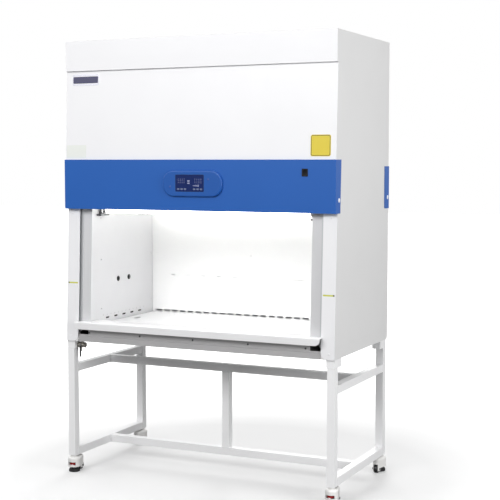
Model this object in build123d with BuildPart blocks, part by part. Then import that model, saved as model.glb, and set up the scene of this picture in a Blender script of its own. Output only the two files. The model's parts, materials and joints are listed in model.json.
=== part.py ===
from build123d import *
from math import cos, radians, sin, tan
import os

# Overall sizes, in millimetres. X runs to the right, -Y is the front, Z = 0 is the floor.
WIDTH = 1500.0  # outside of the side panels
DEPTH = 750.0  # cap face to rear panel
BODY_BOTTOM = 700.0  # underside of the cabinet above the floor
TILT = 2.5  # lean of the sash and of the front, in degrees
SHEET = 1.5
RETURN = 20.0  # depth of folded edges
GAP = 0.3  # between separate sheets
EDGE_GAP = 1.0  # beside the pan and the armrest
RUN = 0.05  # radial clearance of a shaft in its bore

# Front, from the underside up
ARMREST_RISE = 104.0
APERTURE = 587.0  # armrest to band
BAND_HEIGHT = 253.0
HEAD_ROOM = 67.0  # cap above the raised sash
CAP_HEIGHT = 152.0
ARMREST_REACH = 49.0  # armrest front ahead of the cap face
ARMREST_OVER = 6.0  # armrest end outside the column's inner edge
ARMREST_DROP, ARMREST_ROUND, ARMREST_BEND = 36.0, 28.0, 3.0
COLUMN_WIDTH = 70.0
COLUMN_SETBACK = 10.0  # column face behind the cap face, at the band
COLUMN_ROUND, COLUMN_LIP, COLUMN_RETURN = 34.0, 5.0, 14.0
PANEL_LEAD = 8.0  # foot of the front panel ahead of the cap face
BAND_LEAD = 18.0  # band face ahead of the cap face
BAND_SHEET = 2.0
BAND_SIDE_TOP, BAND_SIDE_LOW = 71.0, 60.0  # depth of the band's sides
TRIM_PROUD, TRIM_DEPTH, TRIM_WRAP = 3.0, 70.0, 40.0
TRIM_HEIGHT, TRIM_ROUND = 219.0, 10.0
BASE_SIDE, BASE_ROUND = 55.0, 16.0

# Control pod and switch, heights above the band's lower edge
POD_W, POD_H, POD_D = 330.0, 128.0, 13.0
POD_RISE = 135.0
POD_RIM, POD_FLAT, POD_EDGE, POD_SEAT = 5.0, 5.0, 6.5, 20.0
SCREEN_W, SCREEN_H, SCREEN_T = 157.0, 83.0, 3.0
SCREEN_X, SCREEN_RISE = -12.5, 2.5  # screen centre from the pod's
SCREEN_ROUND, SCREEN_SEAT, SCREEN_SUNK = 4.0, 5.0, 0.5
KEY_W, KEY_H, KEY_T = 13.0, 8.0, 5.0
KEY_RISE = 12.0  # key centre above the screen's lower edge
KEY_PITCH = 19.0
KEY_INSET = 15.0  # outer key's centre from the screen's end
KEY_GAP, KEY_PROUD, KEY_EDGE = 0.4, 1.2, 0.8
SWITCH_INSET = 154.0  # switch centre from the cabinet's side
SWITCH_RISE = 192.0
SWITCH_W, SWITCH_H = 25.0, 31.0
BEZEL_RIM, BEZEL_T, BEZEL_WALL, BEZEL_DEEP = 3.0, 2.0, 2.0, 16.0
ROCKER_PIN, ROCKER_SET, ROCKER_GAP = 1.5, 1.5, 0.8
ROCKER_OUT, ROCKER_DEEP, ROCKER_SWING = 3.3, 5.5, 16.0
ROCKER_DISH, ROCKER_TAPER = 0.7, 0.9  # shares of its front's depth and of its half height

# Work chamber
WALL_INSET = 63.0  # chamber wall inside the column's inner edge
REAR_DUCT = 98.0  # baffle ahead of the rear panel
CEILING_RISE = 54.0  # ceiling above the band's lower edge
TRAY_RISE = 85.0  # tray surface above the underside
TRAY_RIM, TRAY_SHEET, TRAY_GAP = 20.0, 2.0, 4.0
FINGER_L, FINGER_W = 60.0, 24.0
GRILLE_DEPTH = 80.0
INTAKE_L, INTAKE_W, INTAKE_PITCH, INTAKE_MARGIN = 50.0, 5.0, 14.0, 15.0
PORT_R, PORT_RISE = 11.0, 305.0
PORT_SETS = (280.0, 390.0)  # ports behind the cap face
SLOT_L, SLOT_H, SLOT_PITCH, SLOT_RISE = 34.0, 9.0, 83.5, 107.0
DOT_R, DOT_PITCH, DOT_RISE = 2.2, 38.0, 123.0
ROW_BACK, ROW_MARGIN = 315.0, 190.0  # middle of both rows ahead of the baffle, and their free length
BAFFLE_L, BAFFLE_H, BAFFLE_PITCH, BAFFLE_RISE = 38.0, 10.0, 50.0, 9.0
DASH_L, DASH_H, DASH_PITCH, DASH_RISE = 26.0, 4.0, 97.0, 300.0
SKIRT_SET = 8.0  # pan's front wall behind the column face
SKIRT_GAP = 2.0
CREASE_RISE, CREASE_STEP = 32.0, 4.0
NOTCH_W, NOTCH_H = 58.0, 30.0
VENT_R, VENT_PITCH, VENT_MARGIN = 12.0, 50.0, 30.0
LAMP_R, LAMP_END, LAMP_CLEAR = 13.0, 17.0, 6.0
LAMP_RISE = 652.0  # holder underside above the cabinet's
LAMP_FRONT, LAMP_BACK = 110.0, 85.0  # lamps behind the cap face and ahead of the baffle
HOLDER_D, HOLDER_H, HOLDER_T = 78.0, 9.0, 28.0

# Sash and its drive, measured square to the column face and along the sash
GLASS_OVER = 53.0  # glass taller than the aperture
GLASS_T, GLASS_EDGE = 6.0, 5.0  # glass end outside the column's inner edge
SASH_LIFT = 5.0  # raised glass edge above the band's lower edge
GUIDE_SET = 6.0  # guide's front lip behind the column face
LIP, LIP_WIDTH = 2.0, 12.0
PLAY_FRONT, PLAY_BACK = 1.0, 2.0  # between the glass and the guide's lips
GUIDE_IN, GUIDE_OUT = 13.0, 15.0  # guide edges either side of the column's inner edge
RAIL_END, RAIL_H, RAIL_T, RAIL_OVER = 9.0, 30.0, 11.0, 18.0
GLASS_FIT = 0.1
PULLEY_R, PULLEY_W, PULLEY_RIM, RIM_T = 10.0, 14.0, 2.3, 1.5
BELT_T, BELT_W, BELT_INSET, BELT_CLEAR = 1.5, 10.0, 18.0, 3.5
CLAMP_W, CLAMP_H, CLAMP_WALL = 26.0, 22.0, 3.0
SHAFT_R, SHAFT_END, GEAR_HOLD = 5.0, 3.0, 16.0
SHAFT_OVER = 32.0  # drive shaft above the glass
IDLER_RISE = 13.0
PLATE_OUT, PLATE_T, PLATE_EDGE = 5.0, 4.0, 12.0
GEAR_W, GEAR_H, GEAR_BACK, GEAR_FRONT = 40.0, 24.0, 18.0, 8.0
GEAR_MOTOR_R, GEAR_MOTOR_L = 13.0, 90.0

# Air system
PLENUM_SET = 95.0  # plenum front wall behind the cap face
EXHAUST_SPACE = 120.0  # top of the plenum below the cabinet's top
EXHAUST_MARGIN = 128.5  # exhaust opening inside the plenum walls
FILTER_T, FILTER_MEDIA, FILTER_RIM = 70.0, 40.0, 22.0
PLENUM_SPACE = 90.0  # between the supply filter and the blower deck
SCROLL_R, SCROLL_W, SCROLL_WALL, SCROLL_CLEAR = 185.0, 300.0, 2.0, 24.0
OUTLET_IN = 20.0  # outlet's inner side behind the blower axis
IMPELLER_R, IMPELLER_W, BLADES = 140.0, 230.0, 30
BLADE_DEEP, BLADE_T, BLADE_IN, RING_T, HUB_R, HUB_L = 26.0, 2.5, 1.0, 4.0, 24.0, 20.0
INLET_R = 112.0
MOTOR_R, MOTOR_L, MOTOR_IN, MOTOR_ARM = 60.0, 90.0, 20.0, 16.0
MOTOR_SHAFT_R, ARM_OVER = 8.0, 8.0
GRILLE_L, GRILLE_W, GRILLE_RIB = 90.0, 8.0, 12.0

# Stand
TUBE, TUBE_WALL = 40.0, 2.0
LEG_LEAD = 12.0  # leg front ahead of the cap face
LEG_INSET = 22.0  # leg rear ahead of the rear panel
BLOCK_H, BLOCK_W, BLOCK_D = 40.0, 45.0, 86.0
RAIL_DROP = 127.0  # upper rails' top below the cabinet
FOOT_PLATE = 5.0

# Caster, from the floor up
PAD_R, PAD_H, PAD_CAP, PAD_STEP, PAD_EDGE = 29.0, 11.0, 5.0, 3.0, 2.0
FOOT_UP = 10.0  # how far the pad can be raised
SCREW_R, SCREW_HELD = 6.0, 11.0
THUMB_R, THUMB_H, THUMB_RISE, THUMB_CLEAR = 22.5, 13.0, 11.0, 3.5
WHEEL_R, WHEEL_W, WHEEL_EDGE, WHEEL_SIDE = 22.0, 20.0, 3.0, 1.5
PAD_CLEAR = 2.0  # between the pad and the wheel
DOME_WALL, DOME_ROUND, CHEEK, FORK_LOW, AXLE_R, AXLE_IN = 6.0, 13.0, 6.5, 12.0, 4.0, 1.0
LIFT_SPARE, THUMB_OVER, CROWN, WINDOW_EDGE = 1.0, 5.0, 3.0, 1.5
SCALLOPS, SCALLOP_R, SCALLOP_OUT = 10, 4.0, 2.0
STEM_R, STEM_HEAD_R, STEM_HEAD_H, STEM_UP = 6.0, 17.0, 7.7, 19.0

# Drain valve
VALVE_SET, VALVE_DROP = 20.0, 24.0  # valve axis behind the cap face and below the cabinet
VALVE_R, VALVE_L, VALVE_CLEAR, VALVE_STEP = 13.0, 32.0, 6.0, 6.0
PIPE_R, PIPE_WALL, PIPE_RISE, PIPE_CLEAR = 8.0, 1.5, 20.0, 1.0
SPOUT_R, SPOUT_L, COLLAR_T, COLLAR_OUT = 6.0, 20.0, 3.0, 2.5
LEVER_L, LEVER_W, LEVER_T, LEVER_PIN_R, LEVER_BOSS = 58.0, 9.0, 3.0, 3.0, 6.5

# Power inlet on the rear
INLET_INSET, INLET_DROP = 190.0, 310.0  # from the cabinet's side and top
INLET_W, INLET_H, INLET_D, INLET_FLANGE = 48.0, 30.0, 26.0, 7.0
INLET_T, INLET_WALL, INLET_PIN, INLET_PITCH = 2.5, 3.0, 2.0, 12.0

HALF = WIDTH / 2
WALL_HALF = HALF - SHEET
FRONT_Y = -(DEPTH + TRIM_PROUD - ARMREST_REACH) / 2
REAR_Y = FRONT_Y + DEPTH
GLASS_H = APERTURE + GLASS_OVER
ARMREST_TOP = BODY_BOTTOM + ARMREST_RISE
BAND_BOTTOM = ARMREST_TOP + APERTURE
BAND_TOP = BAND_BOTTOM + BAND_HEIGHT
CAP_BOTTOM = BAND_BOTTOM + GLASS_H + HEAD_ROOM
HEIGHT = CAP_BOTTOM + CAP_HEIGHT
BASE_TOP = BODY_BOTTOM + BASE_SIDE
COLUMN_IN = HALF - COLUMN_WIDTH
CHAMBER_HALF = COLUMN_IN - WALL_INSET
TRAY_TOP = BODY_BOTTOM + TRAY_RISE
CEILING = BAND_BOTTOM + CEILING_RISE
BACK_Y = REAR_Y - REAR_DUCT
SLOPE = tan(radians(TILT))
SQUARE = cos(radians(TILT))
SASH_Z = BAND_BOTTOM + SASH_LIFT
SASH_SET = GUIDE_SET + LIP + PLAY_FRONT + GLASS_T / 2
FLANGE_SET = SASH_SET + GLASS_T / 2 + PLAY_BACK + LIP + GAP
PLENUM_Y = FRONT_Y + PLENUM_SET
DECK_Z = HEIGHT - EXHAUST_SPACE
SIDE_FRONT = SHEET + GAP

os.makedirs("parts", exist_ok=True)


def face_y(z):
    """Y of the columns' leaning face at a height."""
    return FRONT_Y + COLUMN_SETBACK - (BAND_BOTTOM - z) * SLOPE


def behind(depth, z):
    """Y at a height of the plane that lies a depth behind the column face."""
    return face_y(z) + depth / SQUARE


def panel_y(z):
    """Y of the front panel's face at a height."""
    return FRONT_Y - PANEL_LEAD + (z - BAND_TOP) * SLOPE


def slab(x, y, z, mode=Mode.ADD):
    """Block in the open part, between two limits on each axis."""
    with BuildSketch(Plane.XY.offset(z[0])) as section:
        with Locations(((x[0] + x[1]) / 2, (y[0] + y[1]) / 2)):
            Rectangle(x[1] - x[0], y[1] - y[0])
    extrude(section.sketch, amount=z[1] - z[0], mode=mode)


def profile(x, points, mode=Mode.ADD):
    """Outline of (y, z) points, extruded between two limits on X."""
    with BuildSketch(Plane.YZ.offset(x[0])) as section:
        with BuildLine():
            Polyline(*points, close=True)
        make_face()
    extrude(section.sketch, amount=x[1] - x[0], mode=mode)


def leaning(x, depth, z, mode=Mode.ADD):
    """Leaning slab between two depths behind the column face."""
    profile(x, [(behind(depth[0], z[0]), z[0]), (behind(depth[1], z[0]), z[0]),
                (behind(depth[1], z[1]), z[1]), (behind(depth[0], z[1]), z[1])], mode)


def sash_plane(rise=0.0, ahead=0.0):
    """Plane of the raised sash: X along it, Y up it, Z towards the front."""
    z = SASH_Z + rise * SQUARE
    base = Plane(origin=(0, behind(SASH_SET, z), z), x_dir=(1, 0, 0),
                 z_dir=(0, -SQUARE, SQUARE * SLOPE))
    return base.offset(ahead)


def sash_block(x, rise, ahead, mode=Mode.ADD):
    """Block in the sash's own directions: along, up and ahead of the glass middle."""
    with BuildSketch(sash_plane(0, ahead[0])) as section:
        with Locations(((x[0] + x[1]) / 2, (rise[0] + rise[1]) / 2)):
            Rectangle(x[1] - x[0], rise[1] - rise[0])
    extrude(section.sketch, amount=ahead[1] - ahead[0], mode=mode)


def across(x, rise, ahead):
    """Plane square to X through a point given in the sash's directions."""
    middle = sash_plane(rise, ahead).origin
    return Plane(origin=(x, middle.Y, middle.Z), x_dir=(0, SQUARE * SLOPE, SQUARE), z_dir=(1, 0, 0))


def facing_right(x, y, z):
    """Plane through a point with its normal along +X."""
    return Plane(origin=(x, y, z), x_dir=(0, 1, 0), z_dir=(1, 0, 0))


def facing_front(x, y, z):
    """Plane through a point with its normal towards the front."""
    return Plane(origin=(x, y, z), x_dir=(1, 0, 0), z_dir=(0, -1, 0))


def disc(plane, radius, length, mode=Mode.ADD):
    """Round bar in the open part, from a plane along its normal."""
    with BuildSketch(plane) as section:
        Circle(radius)
    extrude(section.sketch, amount=length, mode=mode)


def copies(span, pitch):
    """How many copies at a pitch fit a span."""
    return int(span / pitch)


def finish(part, name):
    """Label a piece and write it."""
    part.part.label = name
    export_step(part.part, f"parts/{name}.step")


# Side panels: sheets with the front's outline, and a rear fold behind the rear panel
side_outline = [(behind(SIDE_FRONT, BASE_TOP + GAP), BASE_TOP + GAP),
                (behind(SIDE_FRONT, BAND_BOTTOM), BAND_BOTTOM),
                (behind(SIDE_FRONT, BAND_BOTTOM), BAND_TOP),
                (panel_y(BAND_TOP) + SIDE_FRONT, BAND_TOP),
                (panel_y(CAP_BOTTOM) + SIDE_FRONT, CAP_BOTTOM),
                (FRONT_Y + SIDE_FRONT, CAP_BOTTOM),
                (FRONT_Y + SIDE_FRONT, HEIGHT),
                (REAR_Y, HEIGHT),
                (REAR_Y, BASE_TOP + GAP)]
with BuildPart() as side_panel_right:
    profile((WALL_HALF, HALF), side_outline)
    slab((WALL_HALF - RETURN, WALL_HALF), (REAR_Y - 2 * SHEET - GAP, REAR_Y - SHEET - GAP),
         (BASE_TOP + GAP, HEIGHT - SHEET - GAP))
with BuildPart() as side_panel_left:
    mirror(side_panel_right.part, about=Plane.YZ)
finish(side_panel_right, "side_panel_right")
finish(side_panel_left, "side_panel_left")

# Base frame: floor plate with upturned sides, a leaning front edge and a rounded rear edge
VALVE_X = HALF - BLOCK_W - VALVE_CLEAR - VALVE_L / 2
VALVE_Y = FRONT_Y + VALVE_SET
VALVE_Z = BODY_BOTTOM - VALVE_DROP
PIPE_X = VALVE_X - VALVE_STEP
PIPE_Z = BODY_BOTTOM + PIPE_RISE
with BuildPart() as base_frame:
    for wall, mode in ((0, Mode.ADD), (SHEET, Mode.SUBTRACT)):
        low = BODY_BOTTOM + wall
        high = BASE_TOP + wall
        with BuildSketch(Plane.YZ.offset(wall - HALF)) as base_section:
            with BuildLine():
                Polyline((behind(SIDE_FRONT + wall, low), low), (REAR_Y - wall, low), (REAR_Y - wall, high),
                         (behind(SIDE_FRONT + wall, high), high), close=True)
            make_face()
            fillet(base_section.vertices().group_by(Axis.Y)[0].sort_by(Axis.X)[-1], BASE_ROUND - wall)
        extrude(amount=WIDTH - 2 * wall, mode=mode)
    slab((-COLUMN_IN, COLUMN_IN), (FRONT_Y - ARMREST_REACH, behind(FLANGE_SET, BASE_TOP)),
         (BODY_BOTTOM, BASE_TOP), Mode.SUBTRACT)
    disc(Plane((-PIPE_X, VALVE_Y, BODY_BOTTOM)), PIPE_R + PIPE_CLEAR, SHEET, Mode.SUBTRACT)
finish(base_frame, "base_frame")

# Rear panel with the opening for the power inlet
INLET_X = INLET_INSET - HALF
INLET_Z = HEIGHT - INLET_DROP
with BuildPart() as rear_panel:
    slab((GAP - WALL_HALF, WALL_HALF - GAP), (REAR_Y - SHEET, REAR_Y),
         (BASE_TOP + GAP, HEIGHT - SHEET - GAP))
    with BuildSketch(facing_front(INLET_X, REAR_Y, INLET_Z)):
        Rectangle(INLET_W + GAP, INLET_H + GAP)
    extrude(amount=SHEET, mode=Mode.SUBTRACT)
finish(rear_panel, "rear_panel")

with BuildPart() as power_inlet:
    inlet_face = facing_front(INLET_X, REAR_Y, INLET_Z)
    with BuildSketch(inlet_face):
        RectangleRounded(INLET_W + 2 * INLET_FLANGE, INLET_H + 2 * INLET_FLANGE, INLET_FLANGE)
    extrude(amount=-INLET_T)
    with BuildSketch(inlet_face):
        Rectangle(INLET_W, INLET_H)
    extrude(amount=INLET_D)
    with BuildSketch(inlet_face.offset(-INLET_T)):
        Rectangle(INLET_W - 2 * INLET_WALL, INLET_H - 2 * INLET_WALL)
    extrude(amount=INLET_T + INLET_D - INLET_WALL, mode=Mode.SUBTRACT)
    with BuildSketch(inlet_face.offset(INLET_WALL)):
        with GridLocations(INLET_PITCH, 1, 3, 1):
            Rectangle(INLET_PIN, 2 * INLET_PIN)
    extrude(amount=INLET_D - INLET_WALL)
finish(power_inlet, "power_inlet")

# Top panel with the exhaust grille
PLENUM_HALF = CHAMBER_HALF + SHEET
EXHAUST_Y = (PLENUM_Y + BACK_Y) / 2
EXHAUST_HALF_X = PLENUM_HALF - EXHAUST_MARGIN
EXHAUST_HALF_Y = (BACK_Y - PLENUM_Y) / 2 - EXHAUST_MARGIN
GRILLE_X = GRILLE_L + 2 * GRILLE_W
GRILLE_PITCH = GRILLE_W + GRILLE_RIB
with BuildPart() as top_panel:
    slab((GAP - WALL_HALF, WALL_HALF - GAP), (FRONT_Y + RETURN + GAP, REAR_Y), (HEIGHT - SHEET, HEIGHT))
    with BuildSketch(Plane.XY.offset(HEIGHT - SHEET)):
        with Locations((0, EXHAUST_Y)):
            with GridLocations(GRILLE_X, GRILLE_PITCH, copies(2 * EXHAUST_HALF_X, GRILLE_X),
                               copies(2 * EXHAUST_HALF_Y, GRILLE_PITCH)):
                SlotOverall(GRILLE_L, GRILLE_W)
    extrude(amount=SHEET, mode=Mode.SUBTRACT)
finish(top_panel, "top_panel")

# Front cap: face, top edge and side returns behind the face
with BuildPart() as front_cap:
    slab((-HALF, HALF), (FRONT_Y, FRONT_Y + SHEET), (CAP_BOTTOM, HEIGHT))
    slab((-WALL_HALF + GAP, WALL_HALF - GAP), (FRONT_Y, FRONT_Y + RETURN), (HEIGHT - SHEET, HEIGHT))
    slab((-WALL_HALF + GAP, WALL_HALF - GAP), (FRONT_Y, panel_y(CAP_BOTTOM) - GAP),
         (CAP_BOTTOM, CAP_BOTTOM + SHEET))
    for side in (-1, 1):
        edge = sorted((side * (WALL_HALF - GAP), side * (WALL_HALF - GAP - SHEET)))
        slab(edge, (FRONT_Y, FRONT_Y + RETURN), (CAP_BOTTOM, HEIGHT))
finish(front_cap, "front_cap")

# Front panel: leaning face from the band up behind the cap's lower edge
with BuildPart() as front_panel:
    foot_y, head_y = panel_y(BAND_TOP), panel_y(CAP_BOTTOM)
    foot_z, head_z = BAND_TOP + GAP, CAP_BOTTOM - GAP
    profile((-HALF, HALF), [(foot_y, foot_z), (foot_y + SHEET, foot_z), (head_y + SHEET, head_z), (head_y, head_z)])
    for side in (-1, 1):
        edge = sorted((side * (WALL_HALF - GAP), side * (WALL_HALF - GAP - SHEET)))
        profile(edge, [(foot_y + SHEET, foot_z), (foot_y + RETURN, foot_z),
                       (head_y + RETURN, head_z), (head_y + SHEET, head_z)])
    profile((-WALL_HALF + GAP, WALL_HALF - GAP),
            [(head_y, head_z - SHEET), (head_y, head_z), (head_y + RETURN, head_z), (head_y + RETURN, head_z - SHEET)])
finish(front_panel, "front_panel")

# Blue band: face, sides over the side panels, top and bottom folds
BAND_Y = FRONT_Y - BAND_LEAD
BAND_HALF = HALF + GAP + BAND_SHEET
POD_Z = BAND_BOTTOM + POD_RISE
SWITCH_X = HALF - SWITCH_INSET
SWITCH_Z = BAND_BOTTOM + SWITCH_RISE
with BuildPart() as control_band:
    slab((-BAND_HALF, BAND_HALF), (BAND_Y, BAND_Y + BAND_SHEET), (BAND_BOTTOM, BAND_TOP))
    for side in (-1, 1):
        edge = sorted((side * (HALF + GAP), side * BAND_HALF))
        profile(edge, [(BAND_Y, BAND_BOTTOM), (BAND_Y + BAND_SIDE_LOW, BAND_BOTTOM),
                       (BAND_Y + BAND_SIDE_TOP, BAND_TOP), (BAND_Y, BAND_TOP)])
    slab((-BAND_HALF, BAND_HALF), (BAND_Y, panel_y(BAND_TOP) - GAP), (BAND_TOP - BAND_SHEET, BAND_TOP))
    slab((-BAND_HALF, BAND_HALF), (BAND_Y, face_y(BAND_BOTTOM) - GAP),
         (BAND_BOTTOM, BAND_BOTTOM + BAND_SHEET))
    with BuildSketch(Plane.XZ.offset(-BAND_Y)):
        with Locations((SWITCH_X, SWITCH_Z)):
            Rectangle(SWITCH_W + GAP, SWITCH_H + GAP)
        with Locations((0, POD_Z)):
            Rectangle(POD_W - 2 * POD_SEAT, POD_H - 2 * POD_SEAT)
    extrude(amount=-BAND_SHEET, mode=Mode.SUBTRACT)
finish(control_band, "control_band")

# Control pod: rounded shell on the band, with a seat for the screen and a window behind it
pod_back = facing_front(0, BAND_Y, POD_Z)
pod_front = pod_back.offset(POD_D)
screen_centre = (SCREEN_X, SCREEN_RISE)
with BuildPart() as control_pod:
    with BuildSketch(pod_back):
        RectangleRounded(POD_W, POD_H, POD_H / 2 - POD_FLAT)
    extrude(amount=POD_D)
    fillet(control_pod.faces().sort_by(Axis.Y)[0].edges(), POD_EDGE)
    with BuildSketch(pod_back):
        RectangleRounded(POD_W - 2 * POD_RIM, POD_H - 2 * POD_RIM, POD_H / 2 - POD_FLAT - POD_RIM)
    extrude(amount=POD_D - SCREEN_T - SHEET, mode=Mode.SUBTRACT)
    with BuildSketch(pod_front):
        with Locations(screen_centre):
            RectangleRounded(SCREEN_W + GAP, SCREEN_H + GAP, SCREEN_ROUND)
    extrude(amount=-SCREEN_T, mode=Mode.SUBTRACT)
    with BuildSketch(pod_front):
        with Locations(screen_centre):
            Rectangle(SCREEN_W - 2 * SCREEN_SEAT, SCREEN_H - 2 * SCREEN_SEAT)
    extrude(amount=-POD_D, mode=Mode.SUBTRACT)
finish(control_pod, "control_pod")

# Two groups of three keys, each through its own hole in the screen
key_row = SCREEN_RISE - SCREEN_H / 2 + KEY_RISE
key_spots = []
for side in (-1, 1):
    for index in range(3):
        key_spots.append((SCREEN_X + side * (SCREEN_W / 2 - KEY_INSET - index * KEY_PITCH), key_row))
key_spots.sort()
with BuildPart() as display_screen:
    with BuildSketch(pod_front.offset(-SCREEN_T)):
        with Locations(screen_centre):
            RectangleRounded(SCREEN_W, SCREEN_H, SCREEN_ROUND)
        with Locations(*key_spots):
            Rectangle(KEY_W + 2 * KEY_GAP, KEY_H + 2 * KEY_GAP, mode=Mode.SUBTRACT)
    extrude(amount=SCREEN_T - SCREEN_SUNK)
finish(display_screen, "display_screen")

for index, key_spot in enumerate(key_spots):
    with BuildPart() as key:
        with BuildSketch(pod_front.offset(KEY_PROUD - SCREEN_SUNK)):
            with Locations(key_spot):
                RectangleRounded(KEY_W, KEY_H, 2 * KEY_EDGE)
        extrude(amount=-KEY_T)
        fillet(key.faces().sort_by(Axis.Y)[0].edges(), KEY_EDGE)
    finish(key, f"key_{index + 1}")

# Rocker switch in the band
ROCKER_Y = BAND_Y + ROCKER_SET
bezel_face = facing_front(SWITCH_X, BAND_Y, SWITCH_Z)
with BuildPart() as switch_bezel:
    with BuildSketch(bezel_face):
        RectangleRounded(SWITCH_W + 2 * BEZEL_RIM, SWITCH_H + 2 * BEZEL_RIM, BEZEL_RIM)
    extrude(amount=BEZEL_T)
    with BuildSketch(bezel_face):
        Rectangle(SWITCH_W, SWITCH_H)
    extrude(amount=-BEZEL_DEEP)
    with BuildSketch(bezel_face.offset(BEZEL_T)):
        Rectangle(SWITCH_W - 2 * BEZEL_WALL, SWITCH_H - 2 * BEZEL_WALL)
    extrude(amount=-(BEZEL_T + BEZEL_DEEP - BEZEL_WALL), mode=Mode.SUBTRACT)
    disc(facing_right(SWITCH_X - (SWITCH_W - BEZEL_WALL) / 2, ROCKER_Y, SWITCH_Z), ROCKER_PIN,
         SWITCH_W - BEZEL_WALL)
finish(switch_bezel, "switch_bezel")

# The rocker rests with its upper end out, tipped by half of its swing
rocker_tip = radians(ROCKER_SWING / 2)
rocker_width = SWITCH_W - 2 * BEZEL_WALL - 2 * ROCKER_GAP
rocker_end = Plane(origin=(SWITCH_X - rocker_width / 2, ROCKER_Y, SWITCH_Z),
                   x_dir=(0, cos(rocker_tip), sin(rocker_tip)), z_dir=(1, 0, 0))
rocker_half = SWITCH_H / 2 - BEZEL_WALL - ROCKER_GAP
with BuildPart() as switch_rocker:
    with BuildSketch(rocker_end):
        with BuildLine():
            ThreePointArc((-ROCKER_OUT, -rocker_half), (-ROCKER_OUT * ROCKER_DISH, 0), (-ROCKER_OUT, rocker_half))
            Polyline((-ROCKER_OUT, rocker_half), (ROCKER_PIN, rocker_half * ROCKER_TAPER), (ROCKER_DEEP, 0),
                     (ROCKER_PIN, -rocker_half * ROCKER_TAPER), (-ROCKER_OUT, -rocker_half))
        make_face()
        Circle(ROCKER_PIN + RUN, mode=Mode.SUBTRACT)
    extrude(amount=rocker_width)
finish(switch_rocker, "switch_rocker")

# Blue strips round the rear corners
TRIM_Y = REAR_Y + TRIM_PROUD
TRIM_TOP = BAND_BOTTOM + TRIM_HEIGHT
with BuildPart() as rear_corner_trims:
    slab((HALF + GAP, BAND_HALF), (TRIM_Y - TRIM_DEPTH, TRIM_Y), (BAND_BOTTOM, TRIM_TOP))
    slab((HALF - TRIM_WRAP, BAND_HALF), (REAR_Y + GAP, TRIM_Y), (BAND_BOTTOM, TRIM_TOP))
    fillet(rear_corner_trims.edges().filter_by(Axis.X).group_by(Axis.Z)[0].sort_by(Axis.Y)[0], TRIM_ROUND)
    mirror(about=Plane.YZ)
finish(rear_corner_trims, "rear_corner_trims")

# White columns: leaning face, folded inner edge, outer return inside the side panel
with BuildPart() as front_columns:
    leaning((COLUMN_IN, HALF), (0, SHEET), (BODY_BOTTOM, BAND_BOTTOM - GAP))
    fillet(front_columns.edges().filter_by(Axis.Y).group_by(Axis.Z)[0].sort_by(Axis.X)[0], COLUMN_ROUND)
    leaning((COLUMN_IN, COLUMN_IN + SHEET), (0, COLUMN_LIP), (BASE_TOP + GAP, BAND_BOTTOM - GAP))
    leaning((WALL_HALF - GAP - SHEET, WALL_HALF - GAP), (0, COLUMN_RETURN), (BASE_TOP + GAP, BAND_BOTTOM - GAP))
    mirror(about=Plane.YZ)
finish(front_columns, "front_columns")

# Sash guides: channels that hold the glass edges, from the base to above the raised sash
SHAFT_RISE = GLASS_H + SHAFT_OVER
GUIDE_TOP = SASH_Z + SHAFT_RISE * SQUARE
GUIDE_EDGE = COLUMN_IN + GUIDE_OUT
with BuildPart() as sash_guides:
    leaning((COLUMN_IN - GUIDE_IN, GUIDE_EDGE), (FLANGE_SET - GAP - LIP, FLANGE_SET - GAP), (BASE_TOP, GUIDE_TOP))
    leaning((GUIDE_EDGE - LIP, GUIDE_EDGE), (GUIDE_SET, FLANGE_SET - GAP), (BASE_TOP, GUIDE_TOP))
    leaning((GUIDE_EDGE - LIP_WIDTH, GUIDE_EDGE), (GUIDE_SET, GUIDE_SET + LIP), (BASE_TOP, GUIDE_TOP))
    mirror(about=Plane.YZ)
finish(sash_guides, "sash_guides")

# Inner walls: stainless sides of the chamber with the front flange that carries the guides
PAN_TOP = TRAY_TOP - TRAY_RIM - GAP
WALL_LOW = PAN_TOP + GAP
with BuildPart() as inner_walls:
    profile((CHAMBER_HALF, CHAMBER_HALF + SHEET),
            [(behind(FLANGE_SET, WALL_LOW), WALL_LOW), (BACK_Y - GAP, WALL_LOW),
             (BACK_Y - GAP, CEILING), (behind(FLANGE_SET, CEILING), CEILING)])
    leaning((CHAMBER_HALF, WALL_HALF - GAP), (FLANGE_SET, FLANGE_SET + SHEET), (WALL_LOW, GUIDE_TOP))
    leaning((COLUMN_IN, WALL_HALF - GAP), (FLANGE_SET, FLANGE_SET + SHEET), (BODY_BOTTOM + SHEET + GAP, WALL_LOW))
    with BuildSketch(Plane.YZ.offset(CHAMBER_HALF)):
        with Locations((BACK_Y - ROW_BACK, BODY_BOTTOM + SLOT_RISE)):
            with GridLocations(SLOT_PITCH, 1, copies(BACK_Y - FRONT_Y - ROW_MARGIN, SLOT_PITCH), 1):
                SlotOverall(SLOT_L, SLOT_H)
        with Locations((BACK_Y - ROW_BACK, BODY_BOTTOM + DOT_RISE)):
            with GridLocations(DOT_PITCH, 1, copies(BACK_Y - FRONT_Y - ROW_MARGIN, DOT_PITCH), 1):
                Circle(DOT_R)
        with Locations(*[(FRONT_Y + port_set, BODY_BOTTOM + PORT_RISE) for port_set in PORT_SETS]):
            Circle(PORT_R)
    extrude(amount=SHEET, mode=Mode.SUBTRACT)
    mirror(about=Plane.YZ)
finish(inner_walls, "inner_walls")

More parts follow.
